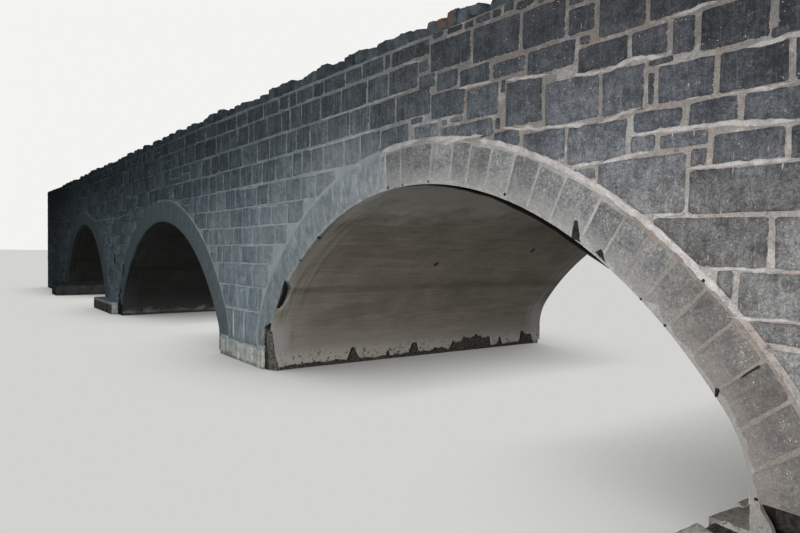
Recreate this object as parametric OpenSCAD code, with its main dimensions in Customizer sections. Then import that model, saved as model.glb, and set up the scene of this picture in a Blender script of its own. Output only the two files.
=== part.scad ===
// Stone arch bridge: three three-centred arches between flush stone faces, with parapets and rubble coping.
// Millimetres, +Z up, origin on the ground in the middle of the plan. X runs from the far end to the near end.

/* [Overall] */
// Width over the two stone faces
bridge_w = 6320; // [5600:10:7600]
// Length of each end from the springing of its arch to its end wall
end_len = 5000; // [4400:50:6500]
// Length of each wing wall, at the outer part of an end
wing_len = 3750; // [2800:50:4000]
// Height of the springings above the undersides of the footings
springing_h = 380; // [340:5:600]

/* [Near arch] */
// Clear span
near_span = 7620; // [7000:10:8200]
// Rise from the springing to the crown
near_rise = 2365; // [2200:5:2450]
// Small radius at the haunches
near_haunch_r = 930; // [500:10:1200]
// Stones in each ring
near_stones = 33; // [25:2:41]

/* [Middle arch] */
// Clear span
middle_span = 7480; // [6900:10:8000]
// Rise from the springing to the crown
middle_rise = 2165; // [2000:5:2300]
// Small radius at the haunches
middle_haunch_r = 300; // [250:10:900]
// Stones in each ring
middle_stones = 33; // [25:2:41]

/* [Far arch] */
// Clear span
far_span = 6520; // [6000:10:7000]
// Rise from the springing to the crown
far_rise = 2260; // [2100:5:2300]
// Small radius at the haunches
far_haunch_r = 370; // [300:10:900]
// Stones in each ring
far_stones = 29; // [21:2:37]

/* [Piers] */
// Width of the pier between the near and middle arches
near_pier_w = 2210; // [2000:10:2500]
// Width of the pier between the middle and far arches
far_pier_w = 2140; // [2000:10:2500]
// Height of the piers and abutments above the springings
pier_h = 1000; // [700:10:1200]
// Height of the plain course between a pier footing and the springings
plinth_h = 80; // [60:5:120]

/* [Masonry] */
// Depth of the arch stones, from intrados to extrados
arch_t = 470; // [400:5:560]
// Reach of the ring stones into the barrel
ring_d = 460; // [380:5:600]
// Thickness of spandrel walls, wing walls, end walls and parapets
wall_t = 450; // [380:5:600]
// Width of the joints between ring stones
joint_w = 14; // [8:1:24]
// Depth to which those joints are open
joint_depth = 24; // [10:1:40]

/* [Road and parapets] */
// Height of the road surface over the near arch
road_h = 3650; // [3600:10:3900]
// Thickness of the road bed
road_t = 160; // [120:5:200]
// Place along the bridge where the road starts to fall towards the far end
crest_x = 2000; // [0:100:5000]
// Fall of the road from there to the far wing wall
far_fall = 230; // [100:5:260]
// Height of the parapet above the road, under the coping
parapet_h = 700; // [600:10:900]
// Height of the tallest coping stones
coping_h = 190; // [150:5:260]
// Mean length of a coping stone
coping_pitch = 290; // [220:5:400]
// Drop of the plain tops of the wing walls below the coping
wing_drop = 60; // [30:5:120]

/* [Footings] */
// How far the toe blocks of the far pier stand out along the bridge, past its far side
toe_out = 740; // [300:10:800]
// How much is left of each toe block along the bridge, from there to its broken end
toe_len = 2440; // [1200:10:2900]
// How far the toe blocks stand out from the faces
toe_front = 200; // [150:10:400]
// Depth of the toe blocks, from their fronts to their backs
toe_d = 450; // [400:10:600]
// Height of the toe blocks in front of the faces
toe_h = 350; // [300:5:380]
// How far the far abutment footing stands into the channel
far_ledge_out = 300; // [100:10:450]
// How far the far abutment footing stands out from the faces
far_ledge_front = 450; // [200:10:600]
// How far the near abutment footing stands into the channel, as a low ledge
near_ledge_out = 320; // [100:10:450]
// How far that ledge stands out from the faces
near_ledge_front = 450; // [200:10:600]
// Height of that ledge
near_ledge_h = 150; // [100:10:300]
// Place along the bridge, past the springing, where the hollow washed out over the ledge starts
hollow_start = 130; // [60:10:300]
// Length of that hollow
hollow_len = 620; // [200:10:800]
// Depth of that hollow behind the face
hollow_d = 260; // [100:10:400]

/* [Hidden] */

stone = "#5b6166";
ring_stone = "#7c7b76";
parging = "#8b8272";
concrete = "#8f8c84";
earth = "#6e6254";
gravel = "#77736b";

// Straight steps that stand for each haunch arc and for the crown arc
haunch_steps = 12;
crown_steps = 48;
// Side of the face towards the viewer, and of the opposite face
front = -1;
back = 1;

spans = [near_span, middle_span, far_span];
rises = [near_rise, middle_rise, far_rise];
haunches = [near_haunch_r, middle_haunch_r, far_haunch_r];
stones = [near_stones, middle_stones, far_stones];
near = 0;
middle = 1;
far = 2;

half_len = end_len + (near_span + near_pier_w + middle_span + far_pier_w + far_span) / 2;
near_x = half_len - end_len - near_span / 2;
middle_x = near_x - near_span / 2 - near_pier_w - middle_span / 2;
far_x = middle_x - middle_span / 2 - far_pier_w - far_span / 2;
arch_x = [near_x, middle_x, far_x];

// Ends of the piers and abutments along the bridge
near_pier_lo = middle_x + middle_span / 2;
far_pier_lo = far_x + far_span / 2;
near_spring_x = near_x + near_span / 2;
far_spring_x = far_x - far_span / 2;
wing_x = half_len - wing_len;

pier_top = springing_h + pier_h;
pier_footing_h = springing_h - plinth_h;

// Height of the road surface at x, and the outline of a band that follows it
function road_z(x) = road_h - max(0, crest_x - x) * far_fall / (crest_x + wing_x);
function road_line(lo, hi, up) = [
    for (x = (crest_x > lo && crest_x < hi) ? [lo, crest_x, hi] : [lo, hi]) [x, road_z(x) + up]
];
function reversed(v) = [for (i = [len(v) - 1:-1:0]) v[i]];
function road_band(lo, hi, low, high) = concat(road_line(lo, hi, low), reversed(road_line(lo, hi, high)));
// A block from a level bed up to a line at a height above the road
function bed_band(lo, hi, bed, high) = concat([[lo, bed], [hi, bed]], reversed(road_line(lo, hi, high)));

// Repeatable number from 0 to 1 for stone i
function vary(i, salt) = let (s = sin(i * 137.5 + salt * 61.3) * 437.585) s - floor(s);

// Arch i is three-centred: a crown arc between two small haunch arcs that stand upright on the springings.
function crown_r(i) = let (a = spans[i] / 2, b = rises[i], r = haunches[i])
    ((a - r) * (a - r) + b * b - r * r) / (2 * (b - r));
// Angle from upright at which the crown arc meets the haunch arcs
function meet_angle(i) = atan2(spans[i] / 2 - haunches[i], crown_r(i) - rises[i]);
// Share of the intrados that each haunch arc takes
function haunch_share(i) = let (haunch = haunches[i] * (90 - meet_angle(i)), crown = crown_r(i) * meet_angle(i))
    haunch / (2 * haunch + 2 * crown);
// Lean of the arch's radius from upright, at a share s of the way along the intrados
function lean(i, s) = let (turn = meet_angle(i), h = haunch_share(i))
    s < h ? -90 + (90 - turn) * s / h
    : s > 1 - h ? 90 - (90 - turn) * (1 - s) / h
    : turn * (2 * s - 1) / (1 - 2 * h);
// Point of the arch at the share s, moved out by off
function arch_point(i, s, off) = let (h = haunch_share(i), side = s < h ? -1 : s > 1 - h ? 1 : 0)
    [arch_x[i] + side * (spans[i] / 2 - haunches[i]), springing_h + (side == 0 ? rises[i] - crown_r(i) : 0)]
    + (off + (side == 0 ? crown_r(i) : haunches[i])) * [sin(lean(i, s)), cos(lean(i, s))];
function arc_shares(i) = let (h = haunch_share(i)) concat(
    [for (k = [0:haunch_steps]) h * k / haunch_steps],
    [for (k = [1:crown_steps]) h + (1 - 2 * h) * k / crown_steps],
    [for (k = [1:haunch_steps]) 1 - h + h * k / haunch_steps]
);
function arch_curve(i, off) = [for (s = arc_shares(i)) arch_point(i, s, off)];

// Solid with a front-view outline, from y0 to y1
module through(y0, y1) {
    translate([0, y1, 0])
        rotate([90, 0, 0])
            linear_extrude(y1 - y0)
                children();
}

// The same within the thickness t behind one face
module in_face(side, t) {
    if (side < 0)
        through(-bridge_w / 2, t - bridge_w / 2) children();
    else
        through(bridge_w / 2 - t, bridge_w / 2) children();
}

// The arch stones and the opening under them, above the springings
module all_arches() {
    for (i = [near, middle, far])
        polygon(arch_curve(i, arch_t));
}

module arch_band(i) {
    polygon(concat(arch_curve(i, 0), reversed(arch_curve(i, arch_t))));
}

module vault(i) {
    color(parging)
        through(ring_d - bridge_w / 2, bridge_w / 2 - ring_d)
            arch_band(i);
}

// Share of the way along the intrados at which joint k lies, since no two stones have quite the same width
function joint_share(i, k) = (k + 0.3 * (vary(k, i + 5) - 0.5)) / stones[i];

// Ring of wedge stones, parted at its face by joints that lie along the radii
module ring(i, side) {
    skin = joint_depth - bridge_w / 2;
    color(ring_stone) {
        mirror([0, side < 0 ? 0 : 1, 0]) {
            through(skin, ring_d - bridge_w / 2)
                arch_band(i);
            through(-bridge_w / 2, skin)
                difference() {
                    arch_band(i);
                    for (k = [1:stones[i] - 1])
                        translate(arch_point(i, joint_share(i, k), 0))
                            rotate(-lean(i, joint_share(i, k)))
                                translate([-joint_w / 2, -joint_w])
                                    square([joint_w, arch_t + 2 * joint_w]);
                }
        }
    }
}

// Mass of a pier or abutment above the springings, between lo and hi and as far as the arches leave it
module support_outline(lo, hi) {
    difference() {
        translate([lo, springing_h])
            square([hi - lo, pier_h]);
        all_arches();
    }
}

module pier(lo, w) {
    color(stone)
        through(-bridge_w / 2, bridge_w / 2) {
            support_outline(lo - arch_t, lo + w + arch_t);
            translate([lo, pier_footing_h])
                square([w, plinth_h]);
        }
}

module abutment(lo, hi) {
    color(stone)
        through(-bridge_w / 2, bridge_w / 2)
            support_outline(lo, hi);
}

module spandrel_outline(lo, hi, up) {
    difference() {
        polygon(bed_band(lo, hi, pier_top, up));
        all_arches();
    }
}

module spandrel(lo, hi, side) {
    color(stone)
        in_face(side, wall_t)
            spandrel_outline(lo, hi, 0);
}

module fill(lo, hi) {
    color(earth)
        through(wall_t - bridge_w / 2, bridge_w / 2 - wall_t)
            spandrel_outline(lo, hi, -road_t);
}

// Fill of an end: over its abutment, and down to the ground behind it
module end_fill(lo, hi, deep_lo, deep_hi) {
    color(earth)
        through(wall_t - bridge_w / 2, bridge_w / 2 - wall_t) {
            spandrel_outline(lo, hi, -road_t);
            polygon(bed_band(deep_lo, deep_hi, 0, -road_t));
        }
}

module wing(lo, hi, side) {
    color(stone)
        in_face(side, wall_t)
            polygon(bed_band(lo, hi, 0, parapet_h + coping_h - wing_drop));
}

module end_wall(lo, hi) {
    color(stone)
        through(wall_t - bridge_w / 2, bridge_w / 2 - wall_t)
            polygon(bed_band(lo, hi, 0, -road_t));
}

// Road bed, laid over the backs of the arches wherever it comes down to them
module roadway() {
    color(gravel)
        through(wall_t - bridge_w / 2, bridge_w / 2 - wall_t)
            difference() {
                polygon(road_band(-half_len, half_len, -road_t, 0));
                all_arches();
            }
}

module parapet(side) {
    color(stone)
        in_face(side, wall_t)
            polygon(road_band(-wing_x, wing_x, 0, parapet_h));
}

// Rough upright coping stones of uneven length and height, bedded side by side along the parapet
coping_count = round(2 * wing_x / coping_pitch);
coping_step = 2 * wing_x / coping_count;
function coping_end(i) = i == 0 || i == coping_count
    ? -wing_x + i * coping_step
    : -wing_x + (i + 0.5 * (vary(i, 1) - 0.5)) * coping_step;
function coping_z(i, share) = coping_h * share * (0.82 + 0.18 * vary(i, 2));
function coping_stone(i) = let (lo = coping_end(i), hi = coping_end(i + 1), w = hi - lo) [
    [lo, road_z(lo) + parapet_h + coping_z(i, 0.5)],
    [lo + 0.12 * w, road_z(lo) + parapet_h + coping_z(i, 0.86)],
    [lo + (0.3 + 0.3 * vary(i, 3)) * w, road_z(lo) + parapet_h + coping_z(i, 1)],
    [hi - 0.1 * w, road_z(hi) + parapet_h + coping_z(i, 0.8)]
];

module coping(side) {
    tops = [for (i = [0:coping_count - 1]) each coping_stone(i)];
    last = [wing_x, road_z(wing_x) + parapet_h + coping_z(coping_count - 1, 0.5)];
    color(stone)
        in_face(side, wall_t)
            polygon(concat(reversed(road_line(-wing_x, wing_x, parapet_h)), tops, [last]));
}

// Footing flush with its pier
module pier_footing(lo, hi) {
    color(concrete)
        translate([lo, -bridge_w / 2, 0])
            cube([hi - lo, bridge_w, pier_footing_h]);
}

// Footing of the far pier, with a broken toe block across each end that is higher in front of the face
module far_pier_footing() {
    pier_footing(far_pier_lo, far_pier_lo + far_pier_w);
    color(concrete)
        for (side = [front, back])
            mirror([0, side < 0 ? 0 : 1, 0])
                translate([far_pier_lo - toe_out, -bridge_w / 2 - toe_front, 0]) {
                    cube([toe_len, toe_d, pier_footing_h]);
                    cube([toe_len, toe_front, toe_h]);
                }
}

module far_abutment_footing() {
    color(concrete)
        translate([-wing_x, -bridge_w / 2 - far_ledge_front, 0])
            cube([far_spring_x + wing_x + far_ledge_out, bridge_w + 2 * far_ledge_front, springing_h]);
}

// Footing of the near abutment: a low ledge all round, and a washed out hollow under the foot of the front ring
module near_abutment_footing() {
    color(concrete) {
        translate([near_spring_x - near_ledge_out, -bridge_w / 2 - near_ledge_front, 0])
            cube([wing_x - near_spring_x + near_ledge_out, bridge_w + 2 * near_ledge_front, near_ledge_h]);
        difference() {
            translate([near_spring_x, -bridge_w / 2, 0])
                cube([wing_x - near_spring_x, bridge_w, springing_h]);
            translate([near_spring_x + hollow_start, -bridge_w / 2 - 10, near_ledge_h])
                cube([hollow_len, hollow_d + 10, springing_h]);
        }
    }
}

pier_footing(near_pier_lo, near_pier_lo + near_pier_w);  // near_pier_footing
far_pier_footing();
near_abutment_footing();
far_abutment_footing();
pier(near_pier_lo, near_pier_w);  // near_pier
pier(far_pier_lo, far_pier_w);  // far_pier
abutment(near_spring_x - arch_t, wing_x);  // near_abutment
abutment(-wing_x, far_spring_x + arch_t);  // far_abutment
vault(near);  // near_vault
vault(middle);  // middle_vault
vault(far);  // far_vault
ring(near, front);  // near_front_ring
ring(middle, front);  // middle_front_ring
ring(far, front);  // far_front_ring
ring(near, back);  // near_back_ring
ring(middle, back);  // middle_back_ring
ring(far, back);  // far_back_ring
spandrel(near_x, wing_x, front);  // near_end_front_spandrel
spandrel(middle_x, near_x, front);  // near_pier_front_spandrel
spandrel(far_x, middle_x, front);  // far_pier_front_spandrel
spandrel(-wing_x, far_x, front);  // far_end_front_spandrel
spandrel(near_x, wing_x, back);  // near_end_back_spandrel
spandrel(middle_x, near_x, back);  // near_pier_back_spandrel
spandrel(far_x, middle_x, back);  // far_pier_back_spandrel
spandrel(-wing_x, far_x, back);  // far_end_back_spandrel
wing(wing_x, half_len, front);  // near_front_wing
wing(-half_len, -wing_x, front);  // far_front_wing
wing(wing_x, half_len, back);  // near_back_wing
wing(-half_len, -wing_x, back);  // far_back_wing
end_wall(half_len - wall_t, half_len);  // near_end_wall
end_wall(-half_len, wall_t - half_len);  // far_end_wall
end_fill(near_x, wing_x, wing_x, half_len - wall_t);  // near_end_fill
fill(middle_x, near_x);  // near_pier_fill
fill(far_x, middle_x);  // far_pier_fill
end_fill(-wing_x, far_x, wall_t - half_len, -wing_x);  // far_end_fill
roadway();
parapet(front);  // front_parapet
parapet(back);  // back_parapet
coping(front);  // front_coping
coping(back);  // back_coping
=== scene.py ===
# Stone arch bridge of three spans: blue-grey limestone walls in lime mortar, washed arch rings, parged
# barrels, rubble coping and rough footings. Metres, +Z up, the near end to +X, the front face to -Y.
import functools
import math
import random

import bmesh
import bpy
import numpy as np
from mathutils import Matrix, Vector, noise


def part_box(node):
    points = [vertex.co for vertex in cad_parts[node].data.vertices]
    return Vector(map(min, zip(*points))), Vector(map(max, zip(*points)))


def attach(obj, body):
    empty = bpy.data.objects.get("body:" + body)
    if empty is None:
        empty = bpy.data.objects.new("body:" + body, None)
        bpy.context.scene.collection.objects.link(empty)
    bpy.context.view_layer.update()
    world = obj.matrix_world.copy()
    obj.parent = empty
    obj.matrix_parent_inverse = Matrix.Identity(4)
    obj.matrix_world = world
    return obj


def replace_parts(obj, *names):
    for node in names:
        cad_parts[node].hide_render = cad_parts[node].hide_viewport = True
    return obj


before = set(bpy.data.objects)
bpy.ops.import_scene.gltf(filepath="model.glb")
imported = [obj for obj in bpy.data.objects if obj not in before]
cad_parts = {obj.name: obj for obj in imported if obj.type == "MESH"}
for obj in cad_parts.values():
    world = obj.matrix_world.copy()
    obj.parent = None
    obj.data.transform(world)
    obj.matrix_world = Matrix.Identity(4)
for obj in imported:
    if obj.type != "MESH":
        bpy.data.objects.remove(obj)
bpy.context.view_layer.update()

# Sizes taken from the frame
FACE = -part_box("near_front_ring")[0][1]  # distance of each stone face from the middle of the road
RING_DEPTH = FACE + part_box("near_front_ring")[1][1]
WALL_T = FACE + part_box("front_parapet")[1][1]
HALF_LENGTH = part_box("near_front_wing")[1][0]
WING_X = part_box("near_front_wing")[0][0]
WING_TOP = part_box("near_front_wing")[1][2]
FAR_WING_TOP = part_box("far_front_wing")[1][2]
ROAD_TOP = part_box("roadway")[1][2]
SPRING_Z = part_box("near_vault")[0][2]
COPING_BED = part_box("front_parapet")[1][2]

# Depth of the arch stones, and the small radii at the haunches
ARCH_T = 0.47
HAUNCH = {"near": 0.93, "middle": 0.30, "far": 0.37}
# Place where the road starts to fall, and its fall from there to the far wing
CREST_X = 2.0
ROAD_FALL = 0.23

# Joint between wall stones, and how far stones stand out of the mortar
JOINT = 0.026
PROUD = 0.009
# Depth to which the stones reach into the wall
BURIED = 0.035
# Mortar band along the outer ends of the arch stones
BAND = 0.045
# How far under the road the stones of the end walls stop
UNDER_ROAD = 0.16
# How far the corners of a stone laid by rule stray, and the points round a stone that isn't seen up close
STRAY = 0.012
FEW_POINTS = 18


def linear(code):
    """Linear colour of an sRGB hex value."""
    parts = [int(code[i:i + 2], 16) / 255 for i in (1, 3, 5)]
    return [c / 12.92 if c < 0.04045 else ((c + 0.055) / 1.055) ** 2.4 for c in parts] + [1.0]


def aim_camera():
    """Camera before the near end, two metres above the foot of the piers, looking along the front face."""
    yaw, pitch, roll = (math.radians(a) for a in (35.82, 1.77, 0.79))
    ahead = Vector((-math.cos(yaw) * math.cos(pitch), math.sin(yaw) * math.cos(pitch), -math.sin(pitch)))
    level = Vector((math.sin(yaw), math.cos(yaw), 0.0))
    above = level.cross(ahead)
    right = math.cos(roll) * level + math.sin(roll) * above
    upright = math.cos(roll) * above - math.sin(roll) * level
    data = bpy.data.cameras.new("camera")
    data.sensor_width = 36.0
    data.lens = 29.71
    data.clip_end = 400.0
    camera = bpy.data.objects.new("camera", data)
    turn = Matrix((right, upright, -ahead)).transposed().to_4x4()
    camera.matrix_world = Matrix.Translation((15.158, -7.66, 2.0565)) @ turn
    bpy.context.scene.collection.objects.link(camera)
    bpy.context.scene.camera = camera


aim_camera()


class Arch:
    """Three-centred arch, measured along its intrados from 0 to 1 and outwards from it in metres."""

    def __init__(self, name):
        low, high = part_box(name + "_vault")
        self.name = name
        self.x = (low[0] + high[0]) / 2
        self.half = (high[0] - low[0]) / 2 - ARCH_T
        self.rise = high[2] - low[2] - ARCH_T
        self.small = HAUNCH[name]
        reach = self.half - self.small
        self.big = (reach ** 2 + self.rise ** 2 - self.small ** 2) / (2 * (self.rise - self.small))
        self.turn = math.atan2(reach, self.big - self.rise)
        haunch = self.small * (math.pi / 2 - self.turn)
        crown = self.big * self.turn
        self.share = haunch / (2 * haunch + 2 * crown)
        self.length = 2 * (haunch + crown)

    def lean(self, s):
        """Angle of the arch's radius from upright, at the share s of the intrados."""
        up = math.pi / 2 - self.turn
        return np.where(s < self.share, -math.pi / 2 + up * s / self.share,
                        np.where(s > 1 - self.share, math.pi / 2 - up * (1 - s) / self.share,
                                 self.turn * (2 * s - 1) / (1 - 2 * self.share)))

    def point(self, s, out):
        """Points x, z at the shares s, moved out from the intrados. Past 0 and 1 they run straight down."""
        s = np.asarray(s, float)
        inside = np.clip(s, 0.0, 1.0)
        angle = self.lean(inside)
        side = np.where(inside < self.share, -1, np.where(inside > 1 - self.share, 1, 0))
        radius = out + np.where(side == 0, self.big, self.small)
        x = self.x + side * (self.half - self.small) + radius * np.sin(angle)
        z = SPRING_Z + np.where(side == 0, self.rise - self.big, 0.0) + radius * np.cos(angle)
        return np.stack([x, z - self.length * np.abs(s - inside)], -1)

    def place(self, xz):
        """Angle from upright and distance out from the intrados of points x and z."""
        dx = xz[..., 0] - self.x
        dz = xz[..., 1] - SPRING_Z
        angle = np.arctan2(dx, dz - self.rise + self.big)
        out = np.hypot(dx, dz - self.rise + self.big) - self.big
        side = np.sign(dx)
        reach = dx - side * (self.half - self.small)
        small_angle = np.arctan2(reach, dz)
        low = np.abs(angle) > self.turn
        angle = np.where(low, small_angle, angle)
        out = np.where(low, np.hypot(reach, dz) - self.small, out)
        below = dz < 0
        return np.where(below, side * math.pi / 2, angle), np.where(below, np.abs(dx) - self.half, out)

    def push_out(self, xz, clear):
        """Moves points that lie nearer than clear to the intrados straight out to that distance."""
        angle, out = self.place(xz)
        side = np.sign(xz[..., 0] - self.x)
        low = np.abs(angle) > self.turn
        radius = clear + np.where(low, self.small, self.big)
        x = self.x + np.where(low, side * (self.half - self.small), 0.0) + radius * np.sin(angle)
        z = SPRING_Z + np.where(low, 0.0, self.rise - self.big) + radius * np.cos(angle)
        z = np.where(xz[..., 1] < SPRING_Z, xz[..., 1], z)
        moved = np.stack([x, z], -1)
        return np.where((out < clear)[..., None], moved, xz)

    def half_width(self, z, out):
        """Half the width at height z of the curve that lies out from the intrados."""
        top = SPRING_Z + self.rise + out
        if z >= top:
            return 0.0
        dz = z - SPRING_Z
        meet_z = (self.small + out) * math.cos(self.turn)
        if dz < meet_z:
            return self.half - self.small + math.sqrt(max((self.small + out) ** 2 - max(dz, 0) ** 2, 0))
        return math.sqrt((self.big + out) ** 2 - (dz - self.rise + self.big) ** 2)


arches = {name: Arch(name) for name in ("near", "middle", "far")}


def fall(x):
    """How far the road and the courses have fallen at x."""
    return np.maximum(0.0, CREST_X - x) * ROAD_FALL / (CREST_X + WING_X)


def ripple(points, size, seed):
    """Smooth noise from -1 to 1 at points, with waves about that long."""
    shift = Vector((seed * 13.1, seed * 7.7, seed * 3.3))
    return np.array([noise.noise(Vector(p) / size + shift) for p in points])


# What each point of a piece carries for its finish: the stone's tone (on barrels and footings also painted
# light and shade), how far it is from the rim, how far out from the intrados, how much limewash lies on it,
# and how much painted shade darkens it in holes, gaps and recesses
MARKS = ("tone", "rim", "inner", "wash", "dark")


class Piece:
    """Collects closed shells with their attributes and makes one mesh object of them."""

    def __init__(self, name):
        self.name = name
        self.verts = []
        self.faces = []
        self.slots = []
        self.marks = {name: [] for name in MARKS}
        self.count = 0

    def add(self, verts, faces, slot=0, **marks):
        """Adds a shell with one slot, and its marks as one number each or one for every point."""
        self.verts.append(np.asarray(verts, float))
        self.faces.extend(tuple(i + self.count for i in face) for face in faces)
        self.slots.extend([slot] * len(faces))
        for key, values in self.marks.items():
            usual = 0.0 if key in ("wash", "dark") else 0.5
            values.append(np.broadcast_to(np.asarray(marks.get(key, usual), float), len(verts)))
        self.count += len(verts)

    def build(self, materials, sharp=40.0, slot_name="wall_stone"):
        """Makes the object, smooth but for edges sharper than the angle given in degrees."""
        mesh = bpy.data.meshes.new(self.name)
        mesh.from_pydata(np.concatenate(self.verts).tolist(), [], self.faces)
        for key, values in self.marks.items():
            mesh.attributes.new(key, "FLOAT", "POINT").data.foreach_set("value", np.concatenate(values))
        for material in materials:
            mesh.materials.append(material)
        mesh.polygons.foreach_set("material_index", self.slots)
        mesh.polygons.foreach_set("use_smooth", [True] * len(self.faces))
        mesh.set_sharp_from_angle(angle=math.radians(sharp))
        mesh.update()
        piece = bpy.data.objects.new(self.name, mesh)
        bpy.context.scene.collection.objects.link(piece)
        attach(piece, "root")
        return piece


class Wall:
    """Plane of masonry: maps the place along it, the height and the distance out of it to a point."""

    def __init__(self, origin, along, outward, up=(0, 0, 1)):
        self.origin = np.array(origin, float)
        self.along = np.array(along, float)
        self.outward = np.array(outward, float)
        self.up = np.array(up, float)
        self.flip = np.dot(np.cross(self.along, self.up), self.outward) < 0

    def at(self, flat, out):
        """Points for places on the wall and distances out of it."""
        flat = np.asarray(flat, float)
        out = np.broadcast_to(np.asarray(out, float), len(flat))
        return self.origin + flat[:, :1] * self.along + flat[:, 1:] * self.up + out[:, None] * self.outward


front = Wall((0, -FACE, 0), (1, 0, 0), (0, -1, 0))
back = Wall((0, FACE, 0), (1, 0, 0), (0, 1, 0))
front_inner = Wall((0, WALL_T - FACE, 0), (1, 0, 0), (0, 1, 0))
back_inner = Wall((0, FACE - WALL_T, 0), (1, 0, 0), (0, -1, 0))
near_end = Wall((HALF_LENGTH, 0, 0), (0, 1, 0), (1, 0, 0))
far_end = Wall((-HALF_LENGTH, 0, 0), (0, 1, 0), (-1, 0, 0))


def measured(points):
    """Length of a line of points, and a function that gives the points at distances along it."""
    lengths = np.concatenate([[0.0], np.cumsum(np.hypot(*np.diff(points, axis=0).T))])
    return lengths[-1], lambda marks: np.stack([np.interp(marks, lengths, part) for part in points.T], -1)


def rounded(corners, radius, steps):
    """Closed outline with rounded corners, as an even number of points for each corner and side."""
    corners = np.asarray(corners, float)
    path = []
    for i in range(len(corners)):
        here, before, after = corners[i], corners[i - 1], corners[(i + 1) % len(corners)]
        to_before = before - here
        to_after = after - here
        r0 = min(radius, 0.4 * np.hypot(*to_before))
        r1 = min(radius, 0.4 * np.hypot(*to_after))
        start = here + to_before / np.hypot(*to_before) * r0
        end = here + to_after / np.hypot(*to_after) * r1
        for t in (0.0, 0.33, 0.67, 1.0):
            path.append((1 - t) ** 2 * start + 2 * t * (1 - t) * here + t * t * end)
    return spaced(np.array(path), steps)


def spaced(outline, count):
    """The same closed outline with its points evenly spaced."""
    length, at = measured(np.vstack([outline, outline[:1]]))
    return at(np.linspace(0.0, length, count, endpoint=False))


def inset(outline, amount):
    """Outline moved in by an amount, along the mean normal at each point."""
    tangent = np.roll(outline, -1, axis=0) - np.roll(outline, 1, axis=0)
    length = np.maximum(np.hypot(tangent[:, 0], tangent[:, 1]), 1e-6)
    normal = np.stack([-tangent[:, 1], tangent[:, 0]], -1) / length[:, None]
    return outline + amount * normal


def stone(piece, wall, outline, seed, fine, slot=0, proud=PROUD, rough=0.0025, wash=0.0, tone=None):
    """Adds one dressed stone: sunk sides, a worn edge and a slightly swelling, uneven face."""
    count = len(outline)
    middle = outline.mean(axis=0)
    size = np.sqrt(np.abs(np.cross(outline - middle, np.roll(outline, -1, axis=0) - middle)).sum() / 2)
    edge = min(0.007, 0.05 * size)
    rings = [(outline, -BURIED, 0.0), (outline, -0.35 * proud, 0.0),
             (inset(outline, edge), 0.55 * proud, 0.15), (inset(outline, 2.6 * edge), proud, 0.45)]
    if fine:
        for share, swell in ((0.66, 1.15), (0.3, 1.25)):
            rings.append((middle + (outline - middle) * share, swell * proud, 1.0))
    flat = np.vstack([ring for ring, _, _ in rings] + [middle[None], middle[None]])
    out = np.concatenate([[depth] * count for _, depth, _ in rings] + [[1.25 * proud], [-BURIED]])
    rim = np.concatenate([[mark] * count for _, _, mark in rings] + [[1.0], [0.0]])
    places = np.column_stack([flat, np.full(len(flat), float(seed % 97))])
    relief = rough * ripple(places, 0.07, 1) + 1.6 * rough * ripple(places, 0.22, 2)
    out = out + np.where(rim > 0.1, relief, 0.0)
    faces = []
    for level in range(len(rings) - 1):
        a, b = level * count, (level + 1) * count
        faces += [(a + i, a + (i + 1) % count, b + (i + 1) % count, b + i) for i in range(count)]
    last = (len(rings) - 1) * count
    top, bottom = len(flat) - 2, len(flat) - 1
    faces += [(last + i, last + (i + 1) % count, top) for i in range(count)]
    faces += [((i + 1) % count, i, bottom) for i in range(count)]
    if wall.flip:
        faces = [face[::-1] for face in faces]
    tone = random.Random(seed).random() if tone is None else tone
    piece.add(wall.at(flat, out), faces, slot, tone=tone, rim=rim, wash=wash)


def cut_stone(corners, seed, jitter, steps=None):
    """Uneven outline of a roughly squared stone, a point every three centimetres unless steps is given."""
    local = random.Random(seed)
    width = abs(corners[1][0] - corners[0][0])
    height = abs(corners[3][1] - corners[0][1])
    moved = [(x + local.uniform(-jitter, jitter), z + local.uniform(-jitter, jitter)) for x, z in corners]
    radius = min(local.uniform(0.006, 0.024), 0.3 * min(width, height))
    outline = rounded(moved, radius, steps or max(20, min(60, int((width + height) / 0.016))))
    places = np.column_stack([outline, np.full(len(outline), seed * 0.37)])
    wear = 0.007 * ripple(places, 0.15, 3) + 0.003 * ripple(places, 0.045, 9)
    return outline + (inset(outline, 1.0) - outline) * wear[:, None]


def lay(x0, x1, z0, z1, local):
    """Stones of uneven length along a course, some split or upright: left, right, bottom, top."""
    course = []
    x = x0
    while x1 - x > 0.1:
        width = local.uniform(0.3, 0.76)
        if local.random() < 0.1:
            width = local.uniform(0.13, 0.2)
        if x1 - x - width < 0.22:
            width = x1 - x
        if width > 0.3 and z1 - z0 > 0.26 and local.random() < 0.13:
            share = local.uniform(0.35, 0.65)
            course.append((x, x + width, z0, z0 + share * (z1 - z0)))
            course.append((x, x + width, z0 + share * (z1 - z0), z1))
        else:
            course.append((x, x + width, z0, z1))
        x += width
    return course


def free_stretches(lo, hi, z, clear):
    """Stretches of a course at height z that the arches leave free."""
    stretches = [(lo, hi)]
    for arch in arches.values():
        half = arch.half_width(z, clear)
        if half <= 0:
            continue
        a, b = arch.x - half, arch.x + half
        cut = []
        for s, e in stretches:
            if b <= s or a >= e:
                cut.append((s, e))
                continue
            if a > s:
                cut.append((s, a))
            if b < e:
                cut.append((b, e))
        stretches = cut
    return [(s, e) for s, e in stretches if e - s > 0.12]


# Levels of the beds over the middle and far arches, from the footings to the coping
BEDS = (0.33, 0.92, 1.31, 1.70, 2.02, 2.33, 2.66, 3.00, 3.36, 3.72, 4.08, 4.345)
# Levels of the beds at the near end
END_BEDS = (0.0, 0.40, 0.77, 1.12, 1.43, 1.60, 1.91, 2.31, 2.65, 2.88, 3.12, 3.45, 3.78, 4.25)

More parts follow.
